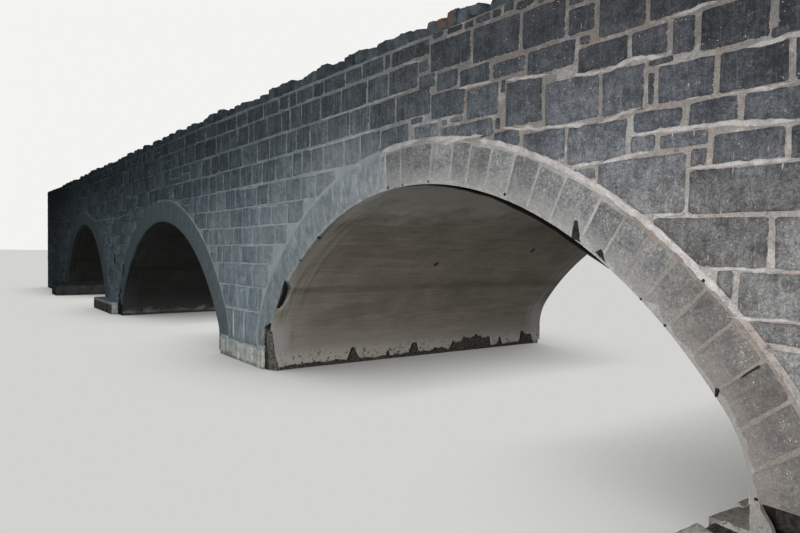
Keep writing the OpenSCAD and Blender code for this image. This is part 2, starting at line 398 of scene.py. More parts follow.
# Where the heights of the courses between the middle and the near arch were read, along the front face
COURSE_ENDS = (3.0, 9.4)
# Those courses: bed and top at the first of these places, the same at the second, upright joints
PIER_COURSES = (
    (4.08, 4.33, 4.155, 4.345,
     (3.0, 3.48, 3.95, 4.41, 5.07, 5.66, 6.0, 6.25, 6.77, 7.08, 7.65, 8.06, 8.55, 8.69, 9.43)),
    (3.73, 4.08, 3.83, 4.14,
     (2.95, 3.2, 3.62, 4.0, 4.48, 4.7, 5.23, 5.75, 6.05, 6.41, 6.99, 7.55, 8.18, 8.64, 9.23)),
    (3.37, 3.73, 3.495, 3.815, (3.1, 3.57, 4.2, 4.86, 5.32, 5.93, 6.25, 6.69, 7.19, 7.77, 8.24, 8.80, 9.46)),
    (3.02, 3.37, 3.12, 3.48,
     (2.95, 3.34, 3.68, 4.14, 4.64, 5.05, 5.55, 6.14, 6.45, 6.73, 7.08, 7.64, 8.03, 8.48, 9.07)),
    (2.66, 3.01, 2.75, 3.10, (3.0, 3.43, 3.91, 4.35, 4.84, 5.3, 5.9, 6.42, 6.87, 7.42, 7.95)),
    (2.33, 2.66, 2.42, 2.76, (2.8, 3.2, 3.66, 4.23, 4.55, 4.95, 5.41, 5.98, 6.5)),
    (2.02, 2.33, 2.1, 2.42, (2.8, 3.1, 3.45, 3.84, 4.25, 4.68, 5.0, 5.55, 5.97)),
    (1.70, 2.02, 1.78, 2.1, (3.0, 3.3, 3.75, 4.23, 4.82, 5.5)),
    (1.31, 1.70, 1.4, 1.8, (3.1, 3.43, 4.0, 4.68, 5.3)),
    (0.92, 1.31, 0.92, 1.4, (3.3, 3.59, 4.05, 4.5, 4.93, 5.1)),
    (0.33, 0.92, 0.33, 0.92, (3.45, 3.86, 4.32, 5.0)),
)

# Stones over and beside the near arch, towards the near end: left, right, bottom, top
NEAR_STONES = (
    (9.25, 9.41, 4.00, 4.09), (9.26, 9.52, 3.82, 3.95), (9.45, 10.08, 3.94, 4.27), (10.14, 10.77, 3.88, 4.25),
    (10.81, 11.32, 3.87, 4.22), (11.34, 11.61, 3.86, 4.10), (11.34, 11.49, 4.12, 4.18),
    (11.68, 12.10, 3.78, 4.21), (12.14, 12.68, 3.78, 4.22), (11.48, 11.56, 3.77, 3.83),
    (9.57, 9.90, 3.72, 3.91), (9.94, 10.38, 3.69, 3.88), (10.43, 10.85, 3.68, 3.83),
    (10.87, 11.43, 3.61, 3.85), (11.45, 11.94, 3.52, 3.74), (11.98, 12.28, 3.53, 3.73),
    (12.33, 12.51, 3.51, 3.76), (12.54, 13.03, 3.47, 3.77), (13.09, 13.52, 3.46, 3.75),
    (9.49, 10.00, 3.43, 3.71), (10.06, 10.51, 3.35, 3.66), (10.54, 10.61, 3.55, 3.65),
    (10.60, 11.06, 3.20, 3.62), (11.10, 11.67, 3.13, 3.52), (11.72, 12.10, 3.14, 3.49),
    (12.13, 12.32, 3.45, 3.49), (12.14, 12.19, 3.17, 3.38), (12.21, 12.65, 3.16, 3.43),
    (12.69, 13.14, 3.14, 3.41), (13.01, 13.19, 3.45, 3.49), (13.19, 13.60, 3.15, 3.42),
    (9.12, 9.30, 3.44, 3.48), (9.19, 9.60, 3.25, 3.40), (9.65, 9.75, 3.34, 3.41), (9.78, 9.98, 3.35, 3.41),
    (9.64, 10.44, 3.16, 3.33), (10.48, 10.52, 3.20, 3.30), (10.47, 10.79, 3.03, 3.17),
    (10.85, 11.32, 2.86, 3.11), (11.37, 11.95, 2.76, 3.08), (12.03, 12.41, 2.97, 3.11),
    (12.49, 12.82, 2.94, 3.12), (12.87, 13.40, 2.90, 3.11), (11.98, 12.19, 2.81, 2.92),
    (12.25, 12.62, 2.81, 2.91), (12.50, 12.62, 2.66, 2.77), (12.66, 13.13, 2.66, 2.87),
    (13.19, 13.52, 2.66, 2.85), (11.43, 11.64, 2.66, 2.71), (11.71, 12.45, 2.35, 2.77),
    (12.50, 13.62, 2.33, 2.62), (12.22, 13.04, 1.96, 2.28), (13.11, 13.50, 1.96, 2.26),
    (12.73, 12.82, 1.74, 1.90), (12.88, 13.46, 1.63, 1.89), (12.95, 13.50, 1.46, 1.57),
    (13.04, 13.50, 1.13, 1.40), (9.50, 9.64, 4.30, 4.35), (9.74, 9.97, 4.28, 4.33),
    (10.00, 10.14, 4.27, 4.32), (10.16, 10.38, 4.29, 4.34), (10.41, 10.52, 4.28, 4.33),
    (10.57, 10.68, 4.29, 4.34), (10.73, 10.94, 4.26, 4.32), (11.00, 11.16, 4.26, 4.31),
    (11.22, 11.50, 4.25, 4.31), (11.55, 11.8, 4.26, 4.31), (11.86, 12.2, 4.26, 4.31),
    (12.26, 12.6, 4.25, 4.31),
)
# Stones among them that are plainly paler (1) or darker (0) than the rest, by left edge and bottom
TONES = {
    (9.45, 3.94): 0.2, (10.14, 3.88): 0.35, (10.81, 3.87): 0.3, (11.68, 3.78): 0.5, (12.14, 3.78): 0.3,
    (9.49, 3.43): 0.1, (10.06, 3.35): 0.6, (10.43, 3.68): 0.55, (10.60, 3.20): 0.4, (11.10, 3.13): 0.95,
    (11.72, 3.14): 0.75, (12.21, 3.16): 0.6, (12.69, 3.14): 0.0, (13.19, 3.15): 0.0, (12.54, 3.47): 0.0,
    (13.09, 3.46): 0.0, (10.85, 2.86): 0.55, (11.37, 2.76): 0.75, (12.87, 2.90): 0.55, (12.66, 2.66): 0.45,
    (11.71, 2.35): 0.85, (12.50, 2.33): 0.35, (12.22, 1.96): 0.15, (13.11, 1.96): 0.5, (12.88, 1.63): 0.6,
    (12.95, 1.46): 0.45, (12.73, 1.74): 0.0,
}
# Where the courses of the near end go on from the last of those stones, one for each of END_BEDS
END_STARTS = (14.27, 13.47, 13.45, 13.5, 13.5, 13.48, 13.52, 13.64, 13.54, 13.42, 13.62, 13.54, 12.7)


def node_at(side, x, z):
    """CAD node that the face belongs to at x and z, on the front or the back."""
    if abs(x) > WING_X:
        return ("near_" if x > 0 else "far_") + side + "_wing"
    if z > ROAD_TOP - fall(x):
        return side + "_parapet"
    if z > SPRING_Z + 1.0:
        if x > arches["near"].x:
            return "near_end_" + side + "_spandrel"
        if x > arches["middle"].x:
            return "near_pier_" + side + "_spandrel"
        if x > arches["far"].x:
            return "far_pier_" + side + "_spandrel"
        return "far_end_" + side + "_spandrel"
    if x > arches["near"].x:
        return "near_abutment"
    if x > arches["middle"].x:
        return "near_pier"
    if x > arches["far"].x:
        return "far_pier"
    return "far_abutment"


wall_pieces = {}


def wall_piece(name):
    """Piece that collects the wall stones of a CAD node."""
    if name not in wall_pieces:
        wall_pieces[name] = Piece(name + "_stones")
    return wall_pieces[name]


def set_stone(wall, side, corners, seed, jitter, fine, tone=None):
    """Trims a stone to the mortar band of the arches and adds it to the piece of the node that it lies on."""
    outline = cut_stone(corners, seed, jitter, None if fine else FEW_POINTS)
    whole = area(outline)
    for arch in arches.values():
        outline = arch.push_out(outline, ARCH_T + BAND)
    if area(outline) < 0.3 * whole or area(outline) < 0.0012:
        return
    x, z = outline.mean(axis=0)
    stone(wall_piece(node_at(side, x, z)), wall, outline, seed, fine, tone=tone)


def area(outline):
    """Area of a closed outline."""
    after = np.roll(outline, -1, axis=0)
    return 0.5 * abs(np.sum(outline[:, 0] * after[:, 1] - after[:, 0] * outline[:, 1]))


def joint_corners(x0, x1, low, high):
    """Corners of a stone between two upright joints and two beds, less half a joint all round."""
    gap = JOINT / 2
    left, right = x0 + gap, x1 - gap
    return [(left, low(x0) + gap), (right, low(x1) + gap), (right, high(x1) - gap), (left, high(x0) - gap)]


def level(z):
    """Bed that falls with the road."""
    return lambda x: z * (1 - fall(x) / COPING_BED)


def even(z):
    """Bed that stays level."""
    return lambda x: z


def sloped(z, z_near):
    """Bed that runs straight from one height to another between the two places where they were read."""
    x0, x1 = COURSE_ENDS
    return lambda x: z + (z_near - z) * (x - x0) / (x1 - x0)


def beside_road(rise):
    """Bed that follows the road at some height above it."""
    return lambda x: ROAD_TOP + rise - fall(np.maximum(x, -WING_X))


def grown(own):
    """Listed stone let out on each side as far as the stones beside it leave a joint."""
    x0, x1, z0, z1 = own
    room = [0.07] * 4
    for a, b, c, d in NEAR_STONES:
        if (a, b, c, d) == own:
            continue
        if min(z1, d) - max(z0, c) > 0.02:
            room[0] = min(room[0], x0 - b) if b <= x0 + 0.02 else room[0]
            room[1] = min(room[1], a - x1) if a >= x1 - 0.02 else room[1]
        if min(x1, b) - max(x0, a) > 0.02:
            room[2] = min(room[2], z0 - d) if d <= z0 + 0.02 else room[2]
            room[3] = min(room[3], c - z1) if c >= z1 - 0.02 else room[3]
    g = [max(-0.008, min(0.022, (gap - joint) / 2)) for gap, joint in zip(room, (0.034, 0.034, 0.022, 0.022))]
    return x0 - g[0], x1 + g[1], z0 - g[2], z1 + g[3]


def face_stones(side, wall, hand_laid):
    """All stones of one long face."""
    local = random.Random(5 if hand_laid else 11)
    seed = 1000 if hand_laid else 20000
    if hand_laid:
        for own in NEAR_STONES:
            seed += 1
            x0, x1, z0, z1 = grown(own)
            corners = [(x0, z0), (x1, z0), (x1, z1), (x0, z1)]
            set_stone(wall, side, corners, seed, 0.008, True, TONES.get((own[0], own[2])))
        for low, high, low_near, high_near, joints in PIER_COURSES:
            bed, top = sloped(low, low_near), sloped(high, high_near)
            for x0, x1 in zip(joints, joints[1:]):
                seed += 1
                set_stone(wall, side, joint_corners(x0, x1, bed, top), seed, 0.008, True)
    else:
        # the back skips one draw, so its stones differ
        local.random()
    starts = dict(zip(BEDS[::-1][1:], (course[4][0] for course in PIER_COURSES)))
    for z0, z1 in zip(BEDS, BEDS[1:]):
        limit = starts[z0] if hand_laid else WING_X
        for lo, hi in free_stretches(-WING_X, limit, (z0 + z1) / 2, ARCH_T + BAND):
            for a, b, c, d in lay(lo, hi, z0, z1, local):
                seed += 1
                set_stone(wall, side, joint_corners(a, b, level(c), level(d)), seed, STRAY, False)
    for i, (z0, z1) in enumerate(zip(END_BEDS, END_BEDS[1:])):
        start = END_STARTS[i] if hand_laid else WING_X
        for a, b, c, d in lay(start, HALF_LENGTH, z0, z1, local):
            seed += 1
            set_stone(wall, side, joint_corners(a, b, even(c), even(d)), seed, STRAY, False)
    for a, b, c, d in lay(WING_X, HALF_LENGTH, END_BEDS[-1], WING_TOP, local):
        seed += 1
        set_stone(wall, side, joint_corners(a, b, even(c), even(d)), seed, 0.01, False)
    far_beds = (0.0, 0.4, 0.8, 1.18, 1.55, 1.9, 2.25, 2.6, 2.95, 3.3, 3.65, 4.0, FAR_WING_TOP)
    for z0, z1 in zip(far_beds, far_beds[1:]):
        for a, b, c, d in lay(-HALF_LENGTH, -WING_X, z0, z1, local):
            seed += 1
            set_stone(wall, side, joint_corners(a, b, even(c), even(d)), seed, STRAY, False)


face_stones("front", front, True)
face_stones("back", back, False)


def inner_stones(side, wall, seed):
    """Stones of a parapet and of the wings beside the road, on their inner faces."""
    local = random.Random(seed)
    for z0, z1 in ((0.03, 0.36), (0.36, COPING_BED - ROAD_TOP)):
        for a, b, c, d in lay(-HALF_LENGTH, HALF_LENGTH, z0, z1, local):
            seed += 1
            outline = cut_stone(joint_corners(a, b, beside_road(c), beside_road(d)), seed, 0.01, FEW_POINTS)
            x = outline[:, 0].mean()
            name = side + "_parapet" if abs(x) < WING_X else ("near_" if x > 0 else "far_") + side + "_wing"
            stone(wall_piece(name), wall, outline, seed, False)


inner_stones("front", front_inner, 40000)
inner_stones("back", back_inner, 42000)


def end_stones(prefix, wall, road, top, seed):
    """Stones of an end wall and of the ends of its two wings."""
    local = random.Random(seed)
    beds = [0.0, 0.38, 0.74, 1.08, 1.45, 1.8, 2.12, 2.48, 2.8, 3.13, road]
    for z0, z1 in zip(beds, beds[1:]):
        for a, b, c, d in lay(-FACE, FACE, z0, z1, local):
            seed += 1
            corners = joint_corners(a, b, even(c), even(d))
            outline = cut_stone(corners, seed, STRAY, FEW_POINTS)
            y = outline[:, 0].mean()
            wing = "_front_wing" if y < 0 else "_back_wing"
            name = prefix + ("_end_wall" if abs(y) < FACE - WALL_T else wing)
            stone(wall_piece(name), wall, outline, seed, False)
    for side, lo, hi in (("_front", -FACE, WALL_T - FACE), ("_back", FACE - WALL_T, FACE)):
        for z0, z1 in ((road, road + 0.45), (road + 0.45, top)):
            seed += 1
            corners = joint_corners(lo, hi, even(z0), even(z1))
            outline = cut_stone(corners, seed, 0.01, FEW_POINTS)
            stone(wall_piece(prefix + side + "_wing"), wall, outline, seed, False)


end_stones("near", near_end, ROAD_TOP - UNDER_ROAD, WING_TOP, 50000)
FAR_FALL = ROAD_FALL * (CREST_X + HALF_LENGTH) / (CREST_X + WING_X)
end_stones("far", far_end, ROAD_TOP - UNDER_ROAD - FAR_FALL, FAR_WING_TOP, 52000)


# Materials


def put(tree, kind, settings=None, inputs=None):
    """Adds one node with its settings, and sets or links its inputs, named or numbered."""
    made = tree.nodes.new(kind)
    for key, value in (settings or {}).items():
        setattr(made, key, value)
    for key, value in (inputs or {}).items():
        if isinstance(value, bpy.types.NodeSocket):
            tree.links.new(value, made.inputs[key])
        else:
            made.inputs[key].default_value = value
    return made


# Nodes of the finishes: a word, the node, its settings, its inputs in the order given, and its output
NODES = {
    "mix": ("ShaderNodeMix", {"data_type": "RGBA"}, (0, 6, 7), 2),
    "tint": ("ShaderNodeMix", {"data_type": "RGBA", "blend_type": "MULTIPLY"}, (0, 6, 7), 2),
    "overlay": ("ShaderNodeMix", {"data_type": "RGBA", "blend_type": "OVERLAY"}, (0, 6, 7), 2),
    "step": ("ShaderNodeMapRange", {"interpolation_type": "SMOOTHSTEP"}, (0, 1, 2, 3, 4), 0),
    "share": ("ShaderNodeMath", {"operation": "MULTIPLY", "use_clamp": True}, (0, 1), 0),
    "weigh": ("ShaderNodeMath", {"operation": "MULTIPLY"}, (0, 1), 0),
    "sum": ("ShaderNodeMath", {"operation": "ADD"}, (0, 1), 0),
    "most": ("ShaderNodeMath", {"operation": "MAXIMUM"}, (0, 1), 0),
    "slope": ("ShaderNodeMath", {"operation": "MULTIPLY_ADD"}, (0, 1, 2), 0),
    "unsigned": ("ShaderNodeMath", {"operation": "ABSOLUTE"}, (0,), 0),
    "x": ("ShaderNodeSeparateXYZ", {}, (0,), 0),
    "y": ("ShaderNodeSeparateXYZ", {}, (0,), 1),
    "z": ("ShaderNodeSeparateXYZ", {}, (0,), 2),
    "join": ("ShaderNodeCombineXYZ", {}, (0, 1, 2), 0),
    "length": ("ShaderNodeVectorMath", {"operation": "LENGTH"}, (0,), "Value"),
    "stretch": ("ShaderNodeVectorMath", {"operation": "MULTIPLY"}, (0, 1), 0),
    "noise": ("ShaderNodeTexNoise", {}, ("Vector", "Scale", "Detail", "Roughness"), 0),
}
for name in MARKS:
    NODES[name] = ("ShaderNodeAttribute", {"attribute_type": "GEOMETRY", "attribute_name": name}, (), "Fac")


def finish_node(tree, word, *values):
    """Adds the node of a word and gives its output. Hex values become linear colours."""
    kind, settings, sockets, output = NODES[word]
    values = (linear(value) if isinstance(value, str) else value for value in values)
    return put(tree, kind, settings, dict(zip(sockets, values))).outputs[output]


def start(name):
    """Empty material; gives it, the function that adds a node to it, and the object coordinates."""
    material = bpy.data.materials.new(name)
    material.use_nodes = True
    tree = material.node_tree
    tree.nodes.clear()
    return material, functools.partial(finish_node, tree), put(tree, "ShaderNodeTexCoord").outputs["Object"]


# How much light the dull surfaces of stone and mortar send back straight, where 0.5 is usual
SHEEN = 0.25


def coat(material, add, colour, roughness, parts, depth):
    """Gives a material its shader: colour, roughness, and relief of some depth from weighted noises."""
    total = None
    for value, weight in parts:
        part = add("weigh", value, weight)
        total = part if total is None else add("sum", total, part)
    tree = material.node_tree
    bump = put(tree, "ShaderNodeBump", None, {"Strength": 1.0, "Distance": depth, "Height": total})
    shader = put(tree, "ShaderNodeBsdfPrincipled", None, {"Base Color": colour, "Roughness": roughness,
                                                          "Specular IOR Level": SHEEN,
                                                          "Normal": bump.outputs[0]})
    put(tree, "ShaderNodeOutputMaterial", None, {"Surface": shader.outputs[0]})
    return material


def speckle(add, place, grain, detail=3.0, rough=0.55):
    """Noise from 0 to 1, its largest grains of a size in millimetres, one size or one along each axis."""
    sizes = grain if isinstance(grain, tuple) else (grain, grain, grain)
    return add("noise", add("stretch", place, [1000.0 / size for size in sizes]), 1.0, detail, rough)


def stain(add, colour, other, value, low, high, most=1.0):
    """Lays another colour over a colour, from none of it at one value to the most at another."""
    return add("mix", add("step", value, low, high, 0.0, most), colour, other)


def toned(add, colour, value, low, high, least, most):
    """Multiplies a colour by a share that runs from the least at one value to the most at another."""
    return add("tint", 1.0, colour, add("step", value, low, high, least, most))


def painted_far_shade(add, place, colour):
    """Painted shade at the far end: cools a colour towards it, and darkens it there."""
    tint = add("mix", add("step", add("x", place), 10.5, 0.0), "#ffffff", "#e9f9ff")
    colour = add("tint", 1.0, colour, tint)
    return toned(add, colour, add("x", place), -16.0, -9.0, 0.40, 1.0)


def grime(add, place, colour, top):
    """Darkens a colour towards the coping, down to the share top of itself, with ragged runs of dirt."""
    runs = speckle(add, place, (455, 455, 2000), 3.0, 0.6)
    height = add("slope", runs, 0.9, add("z", place))
    colour = toned(add, colour, height, 1.9, 4.75, 1.0, top)
    # cleanest between the middle arch and the crown of the near one
    colour = toned(add, colour, add("x", place), 1.0, 5.0, 1.0, 1.10)
    colour = toned(add, colour, add("x", place), 11.6, 12.8, 1.0, 0.87)
    # with the painted shade of the far end
    return painted_far_shade(add, place, colour)


# Places on the faces where old limewash still clings: middle along the bridge, middle height, half sizes
WASHES = ((5.95, 1.75, 2.1, 1.45), (4.3, 0.62, 1.4, 0.5), (2.9, 1.6, 1.6, 1.5), (7.5, 2.9, 1.3, 0.7))


def limewash(add, place):
    """From 0 to 1, how much limewash covers the wall, in ragged patches round the named places."""
    total = None
    ragged = speckle(add, place, 588, 4.0, 0.6)
    for x, z, half_x, half_z in WASHES:
        dx = add("slope", add("x", place), 1 / half_x, -x / half_x)
        dz = add("slope", add("z", place), 1 / half_z, -z / half_z)
        cover = add("step", add("length", add("join", dx, dz, 0.0)), 1.15, 0.45)
        total = cover if total is None else add("most", total, cover)
    return add("share", total, add("step", ragged, 0.25, 0.6, 0.35, 1.0))


def washed(add, place):
    """Colour of the limewash: blue-grey, run into upright streaks and patches."""
    runs = speckle(add, place, (71, 71, 455), 4.0, 0.6)
    patches = speckle(add, place, 200, 5.0, 0.7)
    fine = speckle(add, place, (22.2, 22.2, 56), 4.0, 0.7)
    colour = add("mix", add("step", patches, 0.36, 0.64), "#757d81", "#92989b")
    colour = stain(add, colour, "#b3b8b9", runs, 0.55, 0.7, 0.55)
    colour = stain(add, colour, "#5f676b", runs, 0.45, 0.3, 0.4)
    return toned(add, colour, fine, 0.3, 0.7, 0.78, 1.2)


def limestone():
    """Dark blue-grey limestone, split and roughly dressed: mottled, with pale flecks, upright pale streaks
    and mortar smeared over its edges. Dull, with a fine broken grain."""
    material, add, place = start("split_blue_limestone")
    tone = add("tone")
    rim = add("rim")
    along = add("x", place)
    cloud = speckle(add, place, 227, 7.0, 0.74)
    grain = speckle(add, place, 42, 6.0, 0.78)
    pits = speckle(add, place, 14.7, 4.0, 0.8)
    body = add("step", cloud, 0.36, 0.66)
    cool = add("mix", body, "#606a71", "#919ba2")
    high = add("z", place)
    low_down = add("mix", body, "#656462", "#8f8e8d")
    up_high = add("mix", body, "#585c63", "#83878f")
    up_high = toned(add, up_high, along, 11.8, 12.9, 1.0, 0.80)
    near = add("mix", add("step", high, 2.2, 3.1), low_down, up_high)
    colour = add("mix", add("step", along, 8.0, 12.0), cool, near)
    colour = stain(add, colour, "#a7a9ab", grain, 0.5, 0.7, 0.65)
    colour = stain(add, colour, "#3a3e43", grain, 0.47, 0.3, 0.7)
    colour = toned(add, colour, pits, 0.34, 0.66, 0.6, 1.42)
    colour = toned(add, colour, tone, 0.0, 1.0, 0.76, 1.24)
    streak = speckle(add, place, (33, 33, 417), 4.0, 0.65)
    runs = add("step", along, 11.0, 8.0, 0.35, 1.0)
    colour = add("mix", add("share", add("step", streak, 0.53, 0.7, 0.0, 0.7), runs), colour, "#b4b9ba")
    colour = add("mix", add("share", add("step", streak, 0.46, 0.32, 0.0, 0.7), runs), colour, "#33383c")
    colour = grime(add, place, colour, 0.24)
    smear = speckle(add, place, 71, 5.0, 0.75)
    # painted shadow in the crevice round each stone's sunk rim, in broken patches
    painted_edge_shadow = add("share", add("step", rim, 0.7, 0.1), add("step", smear, 0.6, 0.42))
    colour = add("mix", add("share", painted_edge_shadow, 0.35), colour, "#25282c")
    fleck = speckle(add, place, 16.7, 2.0, 0.5)
    where = speckle(add, place, 143, 2.0, 0.5)
    flecks = add("share", add("step", fleck, 0.68, 0.71), add("step", where, 0.46, 0.62))
    colour = add("mix", flecks, colour, "#b9b8b6")
    lap = add("slope", rim, -0.8, smear)
    smeared = painted_far_shade(add, place, add("mix", add("step", along, 7.5, 10.5), "#8f9592", "#9b918a"))
    colour = stain(add, colour, smeared, lap, 0.42, 0.48, 0.8)
    wash = limewash(add, place)
    colour = add("mix", add("share", wash, 0.55), colour, washed(add, place))
    return coat(material, add, colour, 0.88, ((grain, 1.3), (pits, 0.6), (cloud, 1.5)), 0.010)


def ring_limestone():
    """The same limestone in the arch rings, with a cement wash that thins out from the soffit to the outer
    ends, and with limewash over whole stretches."""
    material, add, place = start("washed_ring_limestone")
    tone = add("tone")
    inner = add("inner")
    rim = add("rim")
    along = add("x", place)
    cloud = speckle(add, place, 167, 6.0, 0.7)
    grain = speckle(add, place, 29.4, 5.0, 0.75)
    pits = speckle(add, place, 12.8, 4.0, 0.8)
    colour = add("mix", add("step", cloud, 0.30, 0.70), "#5f6062", "#828281")
    colour = stain(add, colour, "#a5a4a1", grain, 0.48, 0.7, 0.7)
    colour = stain(add, colour, "#3c3e41", grain, 0.47, 0.28, 0.65)
    colour = toned(add, colour, pits, 0.34, 0.66, 0.66, 1.36)
    colour = toned(add, colour, tone, 0.0, 1.0, 0.8, 1.16)
    colour = add("mix", add("share", add("step", along, 11.9, 13.0), 0.5), colour, "#655b54")
    fleck = speckle(add, place, 11.1, 2.0, 0.5)
    where = speckle(add, place, 167, 2.0, 0.5)
    flecks = add("share", add("step", fleck, 0.66, 0.70), add("step", where, 0.42, 0.62))
    colour = add("mix", flecks, colour, "#cfcdc8")
    ragged = speckle(add, place, 111, 5.0, 0.7)
    soft = add("slope", ragged, 0.8, -0.4)
    reach = add("sum", inner, soft)
    pale = add("mix", add("step", along, 11.7, 12.8), "#949391", "#86807b")
    pale = toned(add, pale, pits, 0.34, 0.66, 0.78, 1.2)
    colour = stain(add, colour, pale, reach, 0.60, 0.02, 0.85)
    lap = add("slope", rim, -0.8, ragged)
    colour = stain(add, colour, "#9b9691", lap, 0.42, 0.50, 0.6)
    wash = add("most", limewash(add, place), add("wash"))
    colour = add("mix", add("share", add("step", wash, 0.1, 0.6), 0.86), colour, washed(add, place))
    colour = add("mix", add("wash"), colour, add("mix", 0.8, colour, "#5f6263"))
    colour = painted_far_shade(add, place, colour)
    # painted shade, nearly black, where the shade mark asks
    colour = add("mix", add("dark"), colour, "#171513")
    return coat(material, add, colour, 0.86, ((grain, 1.0), (pits, 0.5), (cloud, 1.0)), 0.006)


def mortar():
    """Lime and sand pointing: pinkish tan at the near end, greyer beyond, with whiter fresh smears."""
    material, add, place = start("lime_mortar_pointing")
    along = add("x", place)
    cloud = speckle(add, place, 312, 5.0, 0.65)
    lumps = speckle(add, place, 42, 5.0, 0.7)
    sand = speckle(add, place, 13.3, 4.0, 0.75)
    fresh = speckle(add, place, 238, 7.0, 0.72)
    mixed = add("step", cloud, 0.36, 0.64)
    warm = add("mix", mixed, "#a39891", "#9a9794")
    cool = add("mix", mixed, "#939da1", "#a8b1b4")
    colour = add("mix", add("step", along, 7.5, 10.5), cool, warm)
    colour = stain(add, colour, "#656d70", along, 3.0, -3.0, 0.8)
    colour = toned(add, colour, along, 11.0, 13.0, 1.0, 1.14)
    colour = stain(add, colour, "#5d564f", lumps, 0.45, 0.3, 0.6)
    colour = stain(add, colour, "#b8b2ab", lumps, 0.54, 0.7, 0.5)
    white = add("mix", add("step", along, 7.5, 10.5), "#bcc2c0", "#c4c1bd")
    colour = stain(add, colour, white, fresh, 0.53, 0.58, 0.75)
    ring = add("share", add("step", add("rim"), 0.6, 0.9), add("step", along, 7.5, 10.5))
    between = add("mix", mixed, "#a8a6a2", "#bbb9b4")
    between = add("mix", add("step", along, 11.5, 12.1), between, add("mix", mixed, "#857d75", "#938b83"))
    colour = add("mix", add("share", ring, 0.9), colour, between)
    colour = toned(add, colour, sand, 0.3, 0.7, 0.74, 1.26)
    colour = grime(add, place, colour, 0.38)
    wash = limewash(add, place)
    colour = add("mix", add("share", wash, 0.7), colour, "#9ba1a2")
    joints = add("share", add("step", add("rim"), 0.6, 0.9), 0.85)
    colour = add("mix", add("share", add("step", wash, 0.1, 0.5), joints), colour, washed(add, place))
    pale = add("mix", 0.6, washed(add, place), "#5c6264")
    colour = add("mix", add("wash"), colour, painted_far_shade(add, place, pale))
    # painted shade, nearly black, where the shade mark asks
    colour = add("mix", add("dark"), colour, "#171513")
    return coat(material, add, colour, 0.93, ((sand, 0.4), (lumps, 1.2), (fresh, 1.5)), 0.014)


def parging():
    """Trowelled lime parging on the barrels: grey-brown, streaked along the barrel, paler in bands beside the
    faces, whitish and pitted at its foot."""
    material, add, place = start("trowelled_lime_parging")
    streak = speckle(add, place, (154, 1250, 154), 6.0, 0.65)
    lines = speckle(add, place, (29.4, 625, 29.4), 3.0, 0.6)
    cloud = speckle(add, place, 625, 5.0, 0.6)
    fine = speckle(add, place, 22.2, 4.0, 0.65)
    depth = add("unsigned", add("y", place))
    colour = add("mix", add("step", cloud, 0.32, 0.7), "#7b756a", "#8c867a")
    colour = stain(add, colour, "#a29d92", streak, 0.5, 0.72, 0.4)
    colour = stain(add, colour, "#655d51", streak, 0.46, 0.3, 0.38)
    colour = toned(add, colour, lines, 0.35, 0.65, 0.92, 1.08)
    colour = stain(add, colour, "#aaa69c", fine, 0.58, 0.75, 0.3)
    trowel = speckle(add, place, (1429, 91, 1429), 3.0, 0.6)
    beside = add("step", depth, 2.45, 3.05, 0.0, 0.55)
    colour = add("mix", add("share", beside, add("step", trowel, 0.42, 0.62)), colour, "#a5a29d")
    colour = add("mix", add("share", beside, add("step", trowel, 0.46, 0.34)), colour, "#625b52")
    high = add("slope", cloud, 0.6, add("z", place))
    colour = stain(add, colour, "#c5c2ba", high, 2.6, 3.05, 0.7)
    colour = stain(add, colour, "#9b9892", high, 1.0, 0.6, 0.4)
    foot_ends = add("share", add("step", high, 1.35, 0.9), add("step", depth, 2.7, 3.05))
    colour = add("mix", foot_ends, colour, "#a29f9c")
    seam = add("slope", streak, 0.2, add("z", place))
    seam = add("share", add("step", seam, 1.36, 1.42), add("step", seam, 1.56, 1.46))
    colour = add("mix", add("share", seam, 0.4), colour, "#5a5348")
    # painted shade: darker deeper into the barrel, away from the front
    colour = toned(add, colour, add("y", place), -1.5, 2.5, 1.0, 0.86)
    foot = add("slope", fine, 0.22, add("z", place))
    crust = add("step", foot, 0.50, 0.26)
    colour = add("mix", add("share", crust, 0.85), colour, "#b0aba3")
    pits = speckle(add, place, 53, 4.0, 0.72)
    colour = add("mix", add("share", crust, add("step", pits, 0.44, 0.39, 0.0, 0.9)), colour, "#332d27")
    colour = stain(add, colour, "#4d4137", foot, 0.185, 0.165, 0.7)
    # the tone mark darkens the middle and far barrels as painted shade and lightens the middle one's pale
    # foot; the cooler tint below is painted shade too
    colour = toned(add, colour, add("tone"), 0.0, 1.0, 0.0, 1.0)
    colder = add("mix", add("step", add("x", place), 5.3, 4.5), "#ffffff", "#e2eef6")
    colour = add("tint", 1.0, colour, colder)
    # painted shade, nearly black, where the shade mark asks
    colour = add("mix", add("dark"), colour, "#171513")
    waves = speckle(add, place, 111, 4.0, 0.6)
    return coat(material, add, colour, 0.82, ((fine, 0.4), (streak, 1.4), (waves, 1.0)), 0.006)


def parging_edge():
    """Smooth cement wash where the parging laps round onto the faces of the arch stones."""
    material, add, place = start("smooth_cement_wash")
    cloud = speckle(add, place, 167, 5.0, 0.65)
    fine = speckle(add, place, 15.2, 4.0, 0.75)
    along = add("x", place)
    colour = add("mix", add("step", cloud, 0.3, 0.7), "#888887", "#a4a2a0")
    colour = toned(add, colour, fine, 0.34, 0.66, 0.72, 1.22)
    colour = stain(add, colour, "#8b8580", along, 11.9, 13.0, 0.6)
    colour = add("mix", add("wash"), colour, "#62686a")
    colour = painted_far_shade(add, place, colour)
    return coat(material, add, colour, 0.84, ((fine, 1.0), (cloud, 1.0)), 0.004)


